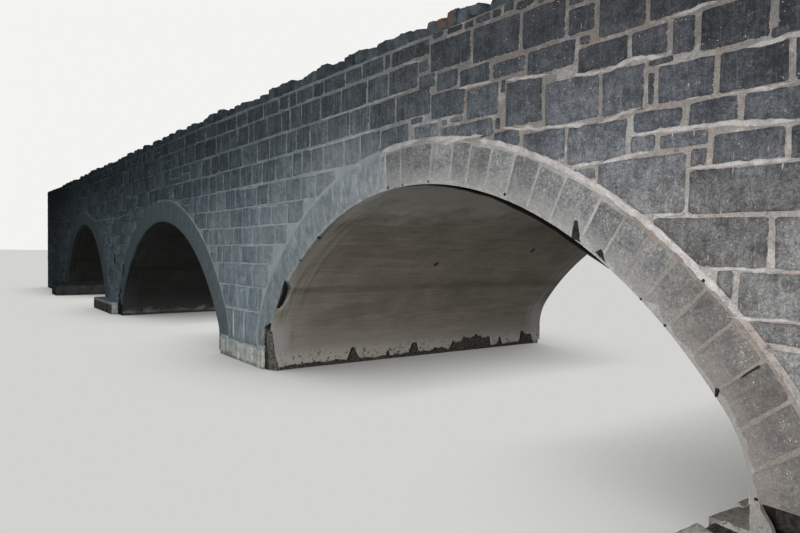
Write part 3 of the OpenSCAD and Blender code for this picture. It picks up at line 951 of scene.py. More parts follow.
def core_finish():
    """Core laid bare where the facing has gone: brown-grey, earthy and damp, nearly black with painted shade
    in holes, gaps and open joints.
    """
    material, add, place = start("exposed_rubble_core")
    lumps = speckle(add, place, 38, 5.0, 0.7)
    cloud = speckle(add, place, 200, 4.0, 0.6)
    colour = add("mix", add("step", lumps, 0.35, 0.66), "#34312d", "#7d7a73")
    colour = stain(add, colour, "#4f4a44", cloud, 0.5, 0.7, 0.5)
    # painted shade, nearly black, where the shade mark asks
    colour = add("mix", add("dark"), colour, "#141210")
    return coat(material, add, colour, 0.9, ((lumps, 1.0),), 0.02)


def fresh_finish():
    """Newer lime mortar smeared over the old joints: pinkish white, sandy, greyer away from the near end."""
    material, add, place = start("fresh_lime_mortar")
    cloud = speckle(add, place, 111, 5.0, 0.65)
    sand = speckle(add, place, 13.3, 4.0, 0.75)
    along = add("x", place)
    mixed = add("step", cloud, 0.35, 0.65)
    pinkish = add("mix", mixed, "#b0a8a4", "#cdcac8")
    greyer = add("mix", mixed, "#adb4b7", "#c8cfd2")
    colour = add("mix", add("step", along, 9.0, 5.0), pinkish, greyer)
    colour = toned(add, colour, sand, 0.3, 0.7, 0.78, 1.18)
    colour = grime(add, place, colour, 0.54)
    lumps = speckle(add, place, 33, 4.0, 0.65)
    return coat(material, add, colour, 0.92, ((sand, 0.4), (lumps, 1.2)), 0.01)


def stained_finish():
    """Mortar skin on the far wings, stained green and black by damp."""
    material, add, place = start("damp_stained_mortar")
    cloud = speckle(add, place, 200, 5.0, 0.65)
    fine = speckle(add, place, 20, 4.0, 0.65)
    colour = add("mix", add("step", cloud, 0.35, 0.65), "#4d5440", "#6f7467")
    colour = stain(add, colour, "#8c8f86", fine, 0.5, 0.7, 0.5)
    return coat(material, add, colour, 0.95, ((fine, 1.0), (cloud, 1.0)), 0.008)


def coping_stone_finish():
    """Weathered rubble of the coping: blue-grey, flecked pale with lichen, a few stones brown."""
    material, add, place = start("weathered_rubble_limestone")
    cloud = speckle(add, place, 143, 5.0, 0.7)
    grain = speckle(add, place, 22.2, 4.0, 0.75)
    tone = add("tone")
    colour = add("mix", add("step", cloud, 0.32, 0.68), "#4a5258", "#7a8287")
    colour = stain(add, colour, "#a3a9ac", grain, 0.5, 0.72, 0.7)
    colour = stain(add, colour, "#2d3237", grain, 0.45, 0.28, 0.7)
    colour = toned(add, colour, tone, 0.0, 0.95, 0.6, 1.0)
    colour = add("tint", 1.0, colour, "#a9adb0")
    colour = add("mix", add("share", add("step", tone, 0.955, 0.96), 0.85), colour, "#5a443b")
    colour = painted_far_shade(add, place, colour)
    return coat(material, add, colour, 0.9, ((grain, 0.6), (cloud, 1.5)), 0.008)


def footing_finish():
    """Old cast footing, rubbed and spalled: pale grey with brown stain, pits and a darker wet foot."""
    material, add, place = start("spalled_lime_concrete")
    cloud = speckle(add, place, 250, 5.0, 0.65)
    pits = speckle(add, place, 33, 5.0, 0.75)
    colour = add("mix", add("step", cloud, 0.35, 0.65), "#8f8b83", "#b3b0a8")
    colour = stain(add, colour, "#4f483f", pits, 0.48, 0.36, 0.85)
    # the tone mark holds painted light and shade: paler tops, darker faces and recessed blocks
    colour = add("tint", 1.0, colour, add("weigh", add("tone"), 2.0))
    wet = add("slope", cloud, 0.2, add("z", place))
    colour = stain(add, colour, "#4c453b", wet, 0.2, 0.1, 0.6)
    # painted shade, very deep brown, where the shade mark asks
    colour = add("mix", add("dark"), colour, "#2a221d")
    colour = painted_far_shade(add, place, colour)
    return coat(material, add, colour, 0.9, ((pits, 1.0), (cloud, 1.0)), 0.012)


def gravel_finish():
    """Packed road gravel: grey-brown with paler stones."""
    material, add, place = start("packed_road_gravel")
    stones = put(material.node_tree, "ShaderNodeTexVoronoi", None, {"Vector": place, "Scale": 1000.0 / 26.0})
    cloud = speckle(add, place, 833, 4.0, 0.6)
    colour = add("mix", add("step", cloud, 0.35, 0.65), "#6f6b64", "#8a867e")
    colour = add("overlay", 0.35, colour, stones.outputs["Color"])
    dust = speckle(add, place, 16.7)
    return coat(material, add, colour, 0.92, ((stones.outputs["Distance"], -1.0), (dust, 0.6)), 0.01)


def rubble_finish():
    """Earth and rubble packing inside the bridge, hidden when the bridge is whole."""
    material, add, place = start("packed_rubble_and_earth")
    lumps = speckle(add, place, 71, 5.0, 0.65)
    colour = add("mix", add("step", lumps, 0.35, 0.7), "#5f5448", "#7d7467")
    return coat(material, add, colour, 0.95, ((lumps, 1.0),), 0.02)


STONE = limestone()
RING = ring_limestone()
MORTAR = mortar()
PARGING = parging()
COPING = coping_stone_finish()
CONCRETE = footing_finish()
GRAVEL = gravel_finish()
RUBBLE = rubble_finish()
PARGING_EDGE = parging_edge()
CORE = core_finish()
FRESH = fresh_finish()
STAINED = stained_finish()

for name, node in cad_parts.items():
    finish = MORTAR
    if name.endswith("_fill"):
        finish = RUBBLE
    elif name == "roadway":
        finish = GRAVEL
    for slot in node.material_slots:
        slot.material = finish

for collected in wall_pieces.values():
    collected.build([STONE])


# Arch rings

# Joints between the stones of the near ring, as shares of the intrados from its pier to its abutment
NEAR_JOINTS = (
    0.04, 0.074, 0.106, 0.138, 0.168, 0.198, 0.228, 0.26, 0.29, 0.32, 0.35, 0.38, 0.414, 0.444, 0.474, 0.53,
    0.564, 0.591, 0.621, 0.652, 0.684, 0.715, 0.755, 0.782, 0.808, 0.835, 0.864, 0.892, 0.922, 0.953, 0.981,
)
RING_STONES = {"near": 33, "middle": 33, "far": 29}
# How much further round from the abutment the joints reach the outer edge: shares, and shares less
SPLAY = ((0.925, 0.953, 0.981, 1.0), (0.0, 0.0065, 0.0147, 0.0))
# Width of the joints between the arch stones, and how far the stones stand back from the intrados
RING_JOINT = 0.015
SET_BACK = 0.012
# Loss of the arris up to which it counts as whole
WHOLE = 0.004


def strip(piece, rows, slot, flip, **marks):
    """Closed ribbon through rows of points, each row running round the ribbon's section."""
    rows = np.asarray(rows, float)
    length, around = rows.shape[:2]
    faces = []
    for i in range(length - 1):
        for j in range(around):
            a, b = i * around + j, i * around + (j + 1) % around
            faces.append((a, b, b + around, a + around))
    faces += [tuple(range(around))[::-1], tuple((length - 1) * around + j for j in range(around))]
    if flip:
        faces = [face[::-1] for face in faces]
    piece.add(rows.reshape(-1, 3), faces, slot, **marks)


# Corner of the near pier that has broken away: its reach along the face, and its top
SPALL_X, SPALL_TOP = 0.245, 0.72
# Piece broken out of the arris above it: heights, and how far the face is lost there
CHIP = ((0.97, 1.02, 1.2, 1.28, 1.36, 1.43, 1.465, 1.48), (0.0, 0.014, 0.026, 0.045, 0.085, 0.105, 0.07, 0.0))


def lost(arch, side, xz, deep=False):
    """How far the arris of the near arch has broken back from the opening, at the face or deep behind it."""
    x, z = xz[..., 0], xz[..., 1]
    chipped = np.interp(z, *CHIP)
    if deep:
        gone = np.maximum(chipped + 0.06 * (chipped > 0), 0.05 * (z < SPALL_TOP))
    else:
        gone = np.maximum(SPALL_X * np.clip((SPALL_TOP + 0.07 - z) / 0.2, 0, 1) ** 0.5, chipped)
    here = (arch.name == "near") & (side == "front") & (x < arch.x)
    return np.where(here, gone, 0.0)


def ring_piece(arch, side, wall, joints, seed):
    """Arch ring: a mortar body, wedge stones with joints along the radii, and parging lapping onto them."""
    piece = Piece(f"{arch.name}_{side}_ring_stones")
    sign = -1 if side == "front" else 1
    front_side = side == "front"
    closest = front_side and arch.name == "near"
    wash = 0.0 if arch.name == "near" else 1.0
    # the body in three layers, broken back with the stones
    steps = 160
    shares = np.linspace(0.0, 1.0, steps + 1)
    layers = ((0.0, 0.03, SET_BACK), (0.03, 0.09, SET_BACK), (0.09, RING_DEPTH, SET_BACK + 0.002))
    for y0, y1, first in layers:
        low = arch.point(shares, first)
        gone = lost(arch, side, low, y0 > 0.05)
        gone = gone + 0.012 * ((gone > WHOLE) & (y0 == 0))
        # where the skin of the barrel has sagged and its gap shows, painted shadow on the back of the body
        painted_gap_shadow = closest & (shares > 0.48) & (shares < 0.84)
        low = arch.push_out(low, first + gone)
        next_low = arch.push_out(low, first + gone + 0.03)
        high = arch.point(shares, ARCH_T)
        sections = np.stack([low, next_low, high, high, low], 1)
        depths = np.array([y0, y0, y0, y1, y1])
        ys = np.broadcast_to(sign * (FACE - depths), (steps + 1, 5))
        rows = np.stack([sections[..., 0], ys, sections[..., 1]], -1)
        # painted shade where the arris has broken away
        bare, none = gone > WHOLE, 0 * gone
        dark = np.stack([bare & (y0 > 0), none, none, none, bare | painted_gap_shadow & (y0 > 0)], 1).ravel()
        strip(piece, rows, 1, not front_side, wash=wash, rim=1.0, dark=dark)
    edges = [0.0, *joints, 1.0]
    local = random.Random(seed)
    for k, (s0, s1) in enumerate(zip(edges, edges[1:])):
        gap = RING_JOINT / 2 / arch.length
        outer = ARCH_T - local.uniform(0.012, 0.045)
        along = np.linspace(s0 + gap, s1 - gap if s1 < 1 else 1.0, 5)
        splay = np.interp(along[::-1], *SPLAY) if closest else 0.0
        wedge = np.vstack([arch.point(along, SET_BACK), arch.point(along[::-1] - splay, outer)])
        outline = rounded(wedge, 0.014, 40)
        places = np.column_stack([outline, np.full(len(outline), k * 0.7 + seed)])
        wear = 0.006 * ripple(places, 0.1, 4) + 0.004 * ripple(places, 0.04, 5) + 0.002
        outline = outline + (inset(outline, 1.0) - outline) * wear[:, None]
        outline = spaced(arch.push_out(outline, SET_BACK + lost(arch, side, outline)), 40)
        stone(piece, wall, outline, seed * 100 + k, front_side, 0, 0.006, 0.0026, wash)
        made = piece.verts[-1]
        _, out = arch.place(made[:, [0, 2]])
        piece.marks["inner"][-1] = np.clip(out / ARCH_T, 0, 1)
        broken = lost(arch, side, made[:, [0, 2]]) > WHOLE
        # painted shade on the sides of the stones where the arris has broken away
        piece.marks["dark"][-1] = 0.9 * (broken & (np.abs(made[:, 1]) < FACE - 0.002) & (out < ARCH_T / 2))
    # the lip of parging on the face
    steps = 300
    shares = np.linspace(0.0, 1.0, steps + 1)
    places = np.column_stack([shares * arch.length, np.full(steps + 1, seed), np.zeros(steps + 1)])
    width = 0.05 + 0.05 * ripple(places, 0.5, 5) + 0.04 * ripple(places, 0.13, 6)
    width = np.clip(width + 0.02 * ripple(places, 0.05, 8), 0.012, 0.14)
    gone = lost(arch, side, arch.point(shares, 0.0)) > WHOLE
    profile = ((0, -0.03), (0, 0.001), (0.006, 0.0065), (0.5, 0.0085), (0.8, 0.0074), (1, 0.0045),
               (1.05, -0.03))
    rows = []
    for across, (share, out) in enumerate(profile):
        offs = share * width + (0.004 if share < 0.1 else 0.0) + np.where(gone, 0.26, 0.0)
        flat = arch.point(shares, offs)
        rough = ripple(np.column_stack([flat, np.full(steps + 1, across)]), 0.05, 7)
        rough = (0.0025 if out > 0 else 0.0) * rough
        raised = np.where(gone, -0.12 - 0.01 * (out < 0), out + rough)
        rows.append(np.column_stack([flat[:, 0], sign * (FACE + raised), flat[:, 1]]))
    strip(piece, np.stack(rows, 1), 2, not front_side, tone=0.2, wash=wash)
    made = piece.build([RING, MORTAR, PARGING_EDGE], slot_name="ring_stone")
    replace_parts(made, f"{arch.name}_{side}_ring")


def even_joints(count, seed):
    """Places of the joints of a ring whose stones are nearly of one width."""
    local = random.Random(seed)
    return [(k + local.uniform(-0.16, 0.16)) / count for k in range(1, count)]


for number, arch in enumerate(arches.values()):
    for side, wall in (("front", front), ("back", back)):
        seed = 61 + 7 * number + (3 if side == "back" else 0)
        hand = arch.name == "near" and side == "front"
        ring_piece(arch, side, wall, NEAR_JOINTS if hand else even_joints(RING_STONES[arch.name], seed), seed)


# Barrels


# How far the skin of the near barrel has sagged from the front ring: shares of the intrados, and depths
GAP = ((0.46, 0.50, 0.56, 0.62, 0.70, 0.75, 0.78, 0.80), (0.0, 0.016, 0.034, 0.045, 0.052, 0.050, 0.03, 0.0))
# The foot of the parging where the near pier's corner is broken away: places across the bridge, and heights
CORNER = ((-3.16, -3.12, -3.09, -3.06, -3.02, -2.98), (0.68, 0.64, 0.5, 0.36, 0.18, 0.0))
# Other places along the near pier where the foot of the parging has broken away: from, to and how high
SPALLS = ((-2.42, -2.26, 0.15), (-1.69, -1.45, 0.31), (-0.86, -0.74, 0.30), (-0.38, -0.10, 0.27),
          (0.15, 0.55, 0.13), (0.62, 0.95, 0.24), (0.85, 1.75, 0.28), (1.90, 2.06, 0.2), (2.5, 3.0, 0.28))
# Mouths of the drain holes in the near barrel
WEEPS = ((6.35, -0.54, 1.76), (6.70, 1.46, 2.01))


def barrel(arch, seed):
    """Barrel of an arch: a parged skin from face to face, ragged at its foot, and the vault behind it."""
    piece = Piece(arch.name + "_barrel")
    near = arch.name == "near"
    rows = 150 if near else 110
    lip = np.linspace(0.0, 0.3, 16 if near else 6, endpoint=False)
    reach = FACE - 0.002
    between = np.linspace(-reach + 0.3, reach - 0.3, 160 if near else 56)
    ys = np.concatenate([-reach + lip, between, (reach - lip)[::-1]])
    columns = len(ys) - 1
    # the skin runs down past the springing to a ragged edge
    feet = []
    for sign in (-1, 1):
        places = np.column_stack([ys, np.full(len(ys), seed + sign), np.zeros(len(ys))])
        foot_z = 0.075 + 0.03 * ripple(places, 0.9, seed) + 0.03 * ripple(places, 0.12, seed + 3)
        if near and sign < 0:
            foot_z = np.maximum(foot_z, np.interp(ys, *CORNER) * (1 + 0.1 * ripple(places, 0.05, 9)))
            for y0, y1, high in SPALLS:
                edge = np.minimum(ys - y0 + 0.02, y1 + 0.02 - ys) / 0.09
                edge = np.clip(edge + 0.8 * ripple(places, 0.07, 11) * (edge > 0), 0, 1)
                top = high * (1 + 0.35 * ripple(places, 0.22, 6) + 0.25 * ripple(places, 0.06, 7))
                foot_z = np.maximum(foot_z, top * edge)
        if arch.name == "middle" and sign < 0:
            scuffed = 0.05 + 0.16 * np.clip((ys - 0.4) / 0.3, 0, 1) + 0.04 * ripple(places, 0.3, 8)
            foot_z = np.maximum(foot_z, scuffed)
        if arch.name == "far" and sign < 0 or near and sign > 0:
            foot_z = np.full(len(ys), SPRING_Z - 0.03)
        feet.append((SPRING_Z - foot_z) / arch.length)
    share = np.linspace(0.0, 1.0, rows + 1)[:, None]
    ends = 0.06
    grid_s = np.where(share < ends, -feet[0] + (feet[0] + 0.03) * share / ends,
                      np.where(share > 1 - ends, 1 + feet[1] - (feet[1] + 0.03) * (1 - share) / ends,
                               0.03 + 0.94 * (share - ends) / (1 - 2 * ends)))
    across = np.broadcast_to(ys, grid_s.shape).ravel()
    along = grid_s.ravel()
    flat = arch.point(along, 0.0)
    outward = arch.point(along, 1.0) - flat
    places = np.column_stack([flat[:, 0] * 2.5, across, flat[:, 1] * 2.5])
    wave = 0.006 * ripple(places, 1.3, seed) + 0.003 * ripple(places, 0.4, seed + 1)
    wave = wave + 0.0015 * ripple(places, 0.12, seed + 2)
    edge = np.clip((FACE - np.abs(across)) / 0.06, 0, 1)
    lift = wave * (0.2 + 0.8 * edge) + 0.007 * (1 - edge) ** 2
    low = np.clip((SPRING_Z + 0.12 - flat[:, 1]) / 0.12, 0, 1)
    lift = lift * (1 - low) - 0.009 * low
    hole_and_gap_shade = np.zeros(len(flat))
    behind = hole_and_gap_shade
    if near:
        # piece broken out of the arris beside the near pier, its hollow painted as shade
        u = (across + FACE + 0.01) / 0.14
        v = (flat[:, 1] - 1.23) / 0.23
        hole = np.clip(1 - np.hypot(u, v), 0, 1) * (flat[:, 0] < arch.x)
        lift = lift + 0.12 * np.minimum(hole * 4, 1)
        hole_and_gap_shade = np.minimum(hole * 6, 1)
        # the skin has sagged away from the ring over the near half of the span
        sag = np.interp(along, *GAP) * np.clip(1 - (across + FACE) / 1.6, 0, 1)
        sag = sag * (1 + 0.25 * ripple(np.column_stack([along * arch.length, 0 * sag, 0 * sag]), 0.2, 4))
        lift = lift - sag
        # painted shadow along the gap behind the sagged skin
        behind = np.clip(sag / 0.004, 0, 1)
        hole_and_gap_shade = np.maximum(hole_and_gap_shade, behind * (across < 0.006 - FACE) * 0.9)
    inner = flat + outward * lift[:, None]
    outer = flat + outward * np.where(behind > 0, lift + 0.012, 0.02 + np.maximum(lift, 0))[:, None]
    top = np.column_stack([inner[:, 0], across, inner[:, 1]])
    under = np.column_stack([outer[:, 0], across, outer[:, 1]])
    # painted shade: the middle and far barrels are made much darker than the near one
    tone = np.full(len(flat), 1.0 if near else 0.27)
    if arch.name == "middle":
        # a pale ragged foot along the far pier
        ragged_top = 0.15 + 0.12 * ripple(np.column_stack([0 * tone, across, 0 * tone]), 0.3, 9)
        blotches = ripple(np.column_stack([0 * tone, across, flat[:, 1] * 2]), 0.25, 4)
        pale_foot = np.clip(0.6 + 1.5 * blotches, 0.35, 1)
        foot = 0.5 * np.clip((ragged_top - flat[:, 1]) / 0.04, 0, 1) * (flat[:, 0] < arch.x)
        tone = tone + foot * pale_foot
    dark = np.concatenate([hole_and_gap_shade, np.maximum(hole_and_gap_shade, behind)])
    shell(piece, top, under, rows, columns, 0, dark, np.concatenate([tone, tone]))
    # the vault behind the skin
    body_rows = 60
    shares = np.linspace(0, 1, body_rows + 1)
    low, high = arch.point(shares, 0.09), arch.point(shares, ARCH_T)
    ends = (-FACE + RING_DEPTH, FACE - RING_DEPTH)
    top = np.array([(x, y, z) for x, z in low for y in ends])
    under = np.array([(x, y, z) for x, z in high for y in ends])
    shell(piece, top, under, body_rows, 1, 1, 0.0, 0.5)
    if near:
        for x, y, z in WEEPS:
            disc(piece, (x, y, z), 0.034, 2)
    made = piece.build([PARGING, MORTAR, CORE], 50.0, "arch_parging")
    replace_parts(made, arch.name + "_vault")


def disc(piece, centre, radius, slot):
    """Mouth of a drain hole, a short plug along the radius at a point of the near barrel, nearly black with
    painted shade.
    """
    arch = arches["near"]
    angle, _ = arch.place(np.array([centre[0], centre[2]]))
    out = Vector((math.sin(float(angle)), 0.0, math.cos(float(angle))))
    turn = out.to_track_quat("Z", "Y").to_matrix()
    rows = []
    for height, share in ((-0.004, 0.8), (-0.004, 1.0), (0.03, 1.0), (0.03, 0.8)):
        ring = [turn @ Vector((radius * share * math.cos(a), 1.9 * radius * share * math.sin(a), height))
                for a in np.linspace(0, 2 * math.pi, 12, endpoint=False)]
        rows.append([tuple(Vector(centre) + p) for p in ring])
    strip(piece, np.array(rows), slot, False, dark=0.8)


def shell(piece, top, under, rows, columns, slot, dark, tone):
    """Closed shell between two grids of points, top facing into the opening, with painted shade where asked.
    """
    width = columns + 1
    count = len(top)
    faces = []
    for i in range(rows):
        for j in range(columns):
            a = i * width + j
            faces.append((a, a + 1, a + width + 1, a + width))
            faces.append((count + a, count + a + width, count + a + width + 1, count + a + 1))
    for i in range(rows):
        a, b = i * width, (i + 1) * width
        faces.append((a, b, count + b, count + a))
        a, b = a + columns, b + columns
        faces.append((b, a, count + a, count + b))
    for j in range(columns):
        a, b = j, j + 1
        faces.append((b, a, count + a, count + b))
        a, b = a + rows * width, b + rows * width
        faces.append((a, b, count + b, count + a))
    piece.add(np.vstack([top, under]), faces, slot, dark=dark, tone=tone)


for number, arch in enumerate(arches.values()):
    barrel(arch, 81 + 5 * number)


# Rubble scattered with geometry nodes, and the coping

# Where the coping's one brown stone lies, between two joints
BROWN_STONE = (9.5, 9.86)


def lump(name, seed, boxy, detail, lean=1.0):
    """Prototype of a rough stone about one unit long, wide and high, split flat on a few sides."""
    local = random.Random(seed)
    bm = bmesh.new()
    bmesh.ops.create_icosphere(bm, subdivisions=detail, radius=1.0)
    planes = []
    for _ in range(6):
        facing = Vector((local.gauss(0, 1), lean * local.gauss(0, 1), local.gauss(0, 1))).normalized()
        planes.append((facing, local.uniform(0.38, 0.5)))
    for vert in bm.verts:
        p = vert.co
        p = p * 0.5 / sum(abs(c) ** boxy for c in p) ** (1 / boxy)
        for normal, distance in planes:
            over = p.dot(normal) - distance
            if over > 0:
                p = p - normal * over
        coarse, fine = noise.noise(p * 3 + Vector((seed, 0, 0))), noise.noise(p * 8 + Vector((0, seed, 0)))
        p = p * (1 + 0.09 * coarse + 0.07 * fine)
        vert.co = [max(-0.5, min(0.5, c)) for c in p]
    mesh = bpy.data.meshes.new(name)
    bm.to_mesh(mesh)
    bm.free()
    return bpy.data.objects.new(name, mesh)


def scatter(name, points, sizes, lumps, material, seed, tilt):
    """Sets one of the lumps at every point with geometry nodes, with its own size, a random turn and tone.
    Gives the plain vertices, faces and tones."""
    rocks = bpy.data.collections.new(name + "_rocks")
    for rock in lumps:
        rocks.objects.link(rock)
    mesh = bpy.data.meshes.new(name)
    mesh.from_pydata([tuple(p) for p in points], [], [])
    size_mark = mesh.attributes.new("size", "FLOAT_VECTOR", "POINT")
    size_mark.data.foreach_set("vector", np.asarray(sizes, float).ravel())
    carrier = bpy.data.objects.new(name, mesh)
    bpy.context.scene.collection.objects.link(carrier)
    tree = bpy.data.node_groups.new(name, "GeometryNodeTree")
    face = tree.interface
    face.new_socket("Points", in_out="INPUT", socket_type="NodeSocketGeometry")
    wanted = {"Rocks": ("NodeSocketCollection", rocks), "Tilt": ("NodeSocketFloat", tilt),
              "Seed": ("NodeSocketInt", seed), "Finish": ("NodeSocketMaterial", material)}
    keys = {label: face.new_socket(label, in_out="INPUT", socket_type=kind).identifier
            for label, (kind, _) in wanted.items()}
    face.new_socket("Rubble", in_out="OUTPUT", socket_type="NodeSocketGeometry")
    given = put(tree, "NodeGroupInput").outputs
    source = put(tree, "GeometryNodeCollectionInfo", None,
                 {"Collection": given["Rocks"], "Separate Children": True, "Reset Children": True})
    pick = put(tree, "FunctionNodeRandomValue", {"data_type": "INT"},
               {4: 0, 5: len(lumps) - 1, "Seed": given["Seed"]})
    least, greatest = (put(tree, "ShaderNodeVectorMath", {"operation": "SCALE"},
                           {0: (sign, sign, sign), "Scale": given["Tilt"]}) for sign in (-1, 1))
    turn = put(tree, "FunctionNodeRandomValue", {"data_type": "FLOAT_VECTOR"},
               {0: least.outputs[0], 1: greatest.outputs[0], "Seed": given["Seed"]})
    size = put(tree, "GeometryNodeInputNamedAttribute", {"data_type": "FLOAT_VECTOR"}, {"Name": "size"})
    placed = put(tree, "GeometryNodeInstanceOnPoints", None,
                 {"Points": given["Points"], "Instance": source.outputs[0], "Pick Instance": True,
                  "Instance Index": pick.outputs[2], "Rotation": turn.outputs[0], "Scale": size.outputs[0]})
    shares = {2: 0.0, 3: 1.0, "Seed": given["Seed"]}
    tone = put(tree, "FunctionNodeRandomValue", {"data_type": "FLOAT"}, shares)
    toned = put(tree, "GeometryNodeStoreNamedAttribute", {"data_type": "FLOAT", "domain": "INSTANCE"},
                {"Geometry": placed.outputs[0], "Name": "tone", "Value": tone.outputs[1]})
    real = put(tree, "GeometryNodeRealizeInstances", None, {0: toned.outputs[0]})
    dressed = put(tree, "GeometryNodeSetMaterial", None,
                  {"Geometry": real.outputs[0], "Material": given["Finish"]})
    put(tree, "NodeGroupOutput", None, {0: dressed.outputs[0]})
    modifier = carrier.modifiers.new("rubble", "NODES")
    modifier.node_group = tree
    for label, (_, value) in wanted.items():
        modifier[keys[label]] = value
    made = bpy.data.meshes.new_from_object(carrier.evaluated_get(bpy.context.evaluated_depsgraph_get()))
    verts = np.empty(len(made.vertices) * 3)
    made.vertices.foreach_get("co", verts)
    tones = np.empty(len(made.vertices))
    made.attributes["tone"].data.foreach_get("value", tones)
    faces = [tuple(polygon.vertices) for polygon in made.polygons]
    for thing in (carrier, *lumps):
        bpy.data.objects.remove(thing)
    bpy.data.collections.remove(rocks)
    bpy.data.node_groups.remove(tree)
    return verts.reshape(-1, 3), faces, tones


def coping(side, seed):
    """Rough stones set on the parapet in a wavy bed of mortar, one of them brown."""
    local = random.Random(seed)
    sign = -1 if side == "front" else 1
    middle = sign * (FACE - WALL_T / 2)
    points, sizes = [], []
    x = -WING_X + 0.02
    while WING_X - x > 0.12:
        width = min(local.uniform(0.13, 0.36), WING_X - x - 0.01)
        for place in BROWN_STONE:
            if x < place < x + width + 0.1:
                width = place - x
        if WING_X - x - width < 0.15:
            width = WING_X - x - 0.01
        high = local.uniform(0.15, 0.225)
        bed = COPING_BED - float(fall(x + width / 2))
        points.append((x + width / 2, middle - sign * local.uniform(-0.01, 0.02), bed + high / 2 - 0.016))
        sizes.append((width * 1.08, WALL_T * local.uniform(0.97, 1.03), high * 1.1))
        x += width
    lumps = [lump(f"rubble_{i}", seed + i, 9.0, 3, 0.3) for i in range(8)]
    piece = Piece(side + "_coping_stones")
    verts, faces, tones = scatter(side + "_coping_points", points, sizes, lumps, COPING, seed, 0.1)
    brown = (np.abs(verts[:, 0] - sum(BROWN_STONE) / 2) < 0.15) & (verts[:, 2] > COPING_BED + 0.03)
    whole = np.where(brown, 1.0, np.clip(tones, 0, 0.94))
    piece.add(verts, faces, 0, tone=whole)
    count = 480
    xs = np.linspace(-WING_X, WING_X, count + 1)
    places = np.column_stack([xs, np.full(count + 1, seed), np.zeros(count + 1)])
    high = 0.03 + 0.022 * ripple(places, 0.23, 1) + 0.012 * ripple(places, 0.08, 4)
    thick = 0.004 + 0.006 * ripple(places, 0.3, 2)
    low = COPING_BED - fall(xs)
    out, back_out = FACE + thick, FACE - WALL_T + 0.006
    section = ((out - 0.004, low - 0.02), (out, low + 0.4 * high), (out - 0.03, low + high),
               (back_out + 0.03, low + high), (back_out, low - 0.02))
    rows = [np.column_stack([xs, np.full(count + 1, 1.0) * sign * y, z]) for y, z in section]
    strip(piece, np.stack(rows, 1), 1, sign > 0)
    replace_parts(piece.build([COPING, MORTAR], 35.0, "coping_stone"), side + "_coping")


coping("front", 210)
coping("back", 230)


# Footings


def rough_block(piece, low, high, step, rough, slot, shape=None, tone=0.5, dark=0.0):
    """Closed block with uneven sides, standing inside the box given.
    A shape function may move its points, and the marks may be functions of them."""
    counts = [max(2, round((b - a) / step)) for a, b in zip(low, high)]
    grid = {}
    verts, faces = [], []

    def index(i, j, k):
        """Number of a point of the block's grid, which is made when it is first asked for."""
        key = (i, j, k)
        if key not in grid:
            grid[key] = len(verts)
            verts.append([a + (b - a) * n / c for a, b, n, c in zip(low, high, key, counts)])
        return grid[key]
    for axis in range(3):
        u, v = (axis + 1) % 3, (axis + 2) % 3
        for end in (0, counts[axis]):
            for a in range(counts[u]):
                for b in range(counts[v]):
                    corner = [0, 0, 0]
                    corner[axis] = end
                    quad = []
                    for da, db in ((0, 0), (1, 0), (1, 1), (0, 1)):
                        corner[u], corner[v] = a + da, b + db
                        quad.append(index(*corner))
                    faces.append(tuple(quad if end else quad[::-1]))
    verts = np.array(verts)
    low, high = np.array(low), np.array(high)
    inward = np.where(verts >= high - 1e-6, -1.0, 0.0) + np.where(verts <= low + 1e-6, 1.0, 0.0)
    amount = rough * (1 + ripple(verts, 0.3, 3)) / 2 + 0.5 * rough * (1 + ripple(verts, 0.09, 4)) / 2
    corners = np.abs(inward).sum(axis=1) > 1
    amount = amount + np.where(corners, 0.6 * rough, 0.0)
    moved = verts + inward * amount[:, None]
    moved[:, 2] = np.where(verts[:, 2] <= 1e-6, verts[:, 2], moved[:, 2])
    if shape:
        moved = shape(moved)
    tone, dark = (value(moved) if callable(value) else value for value in (tone, dark))
    piece.add(moved, faces, slot, inner=0.0, tone=tone, dark=dark)


def patch(piece, wall, outline, out, slot, **marks):
    """Thin closed slab with the outline given, standing a little out of a wall."""
    strip(piece, np.array([wall.at(outline, -0.03), wall.at(outline, out)]), slot, wall.flip, **marks)


def ragged(points, amount, size=0.06, seed=5):
    """Outline through points, with more points between them, moved about at random."""
    length, at = measured(np.vstack([points, points[:1]]))
    line = at(np.linspace(0.0, length, max(8, int(length / (0.4 * size))), endpoint=False))
    places = np.column_stack([line, np.full(len(line), seed * 0.7)])
    return line + (inset(line, 1.0) - line) * (amount * ripple(places, size, seed))[:, None]


def torn(high, deep, size, seed):
    """Shape function that drops the tops of a rough block by up to deep, in ragged notches."""
    def shape(points):
        """The points with their tops dropped."""
        points = points.copy()
        drop = deep * np.clip(0.5 + 1.4 * ripple(points * np.array([1.0, 0.3, 0.0]), size, seed), 0, 1)
        points[:, 2] = np.where(points[:, 2] > 0.5 * high, points[:, 2] - drop, points[:, 2])
        return points
    return shape


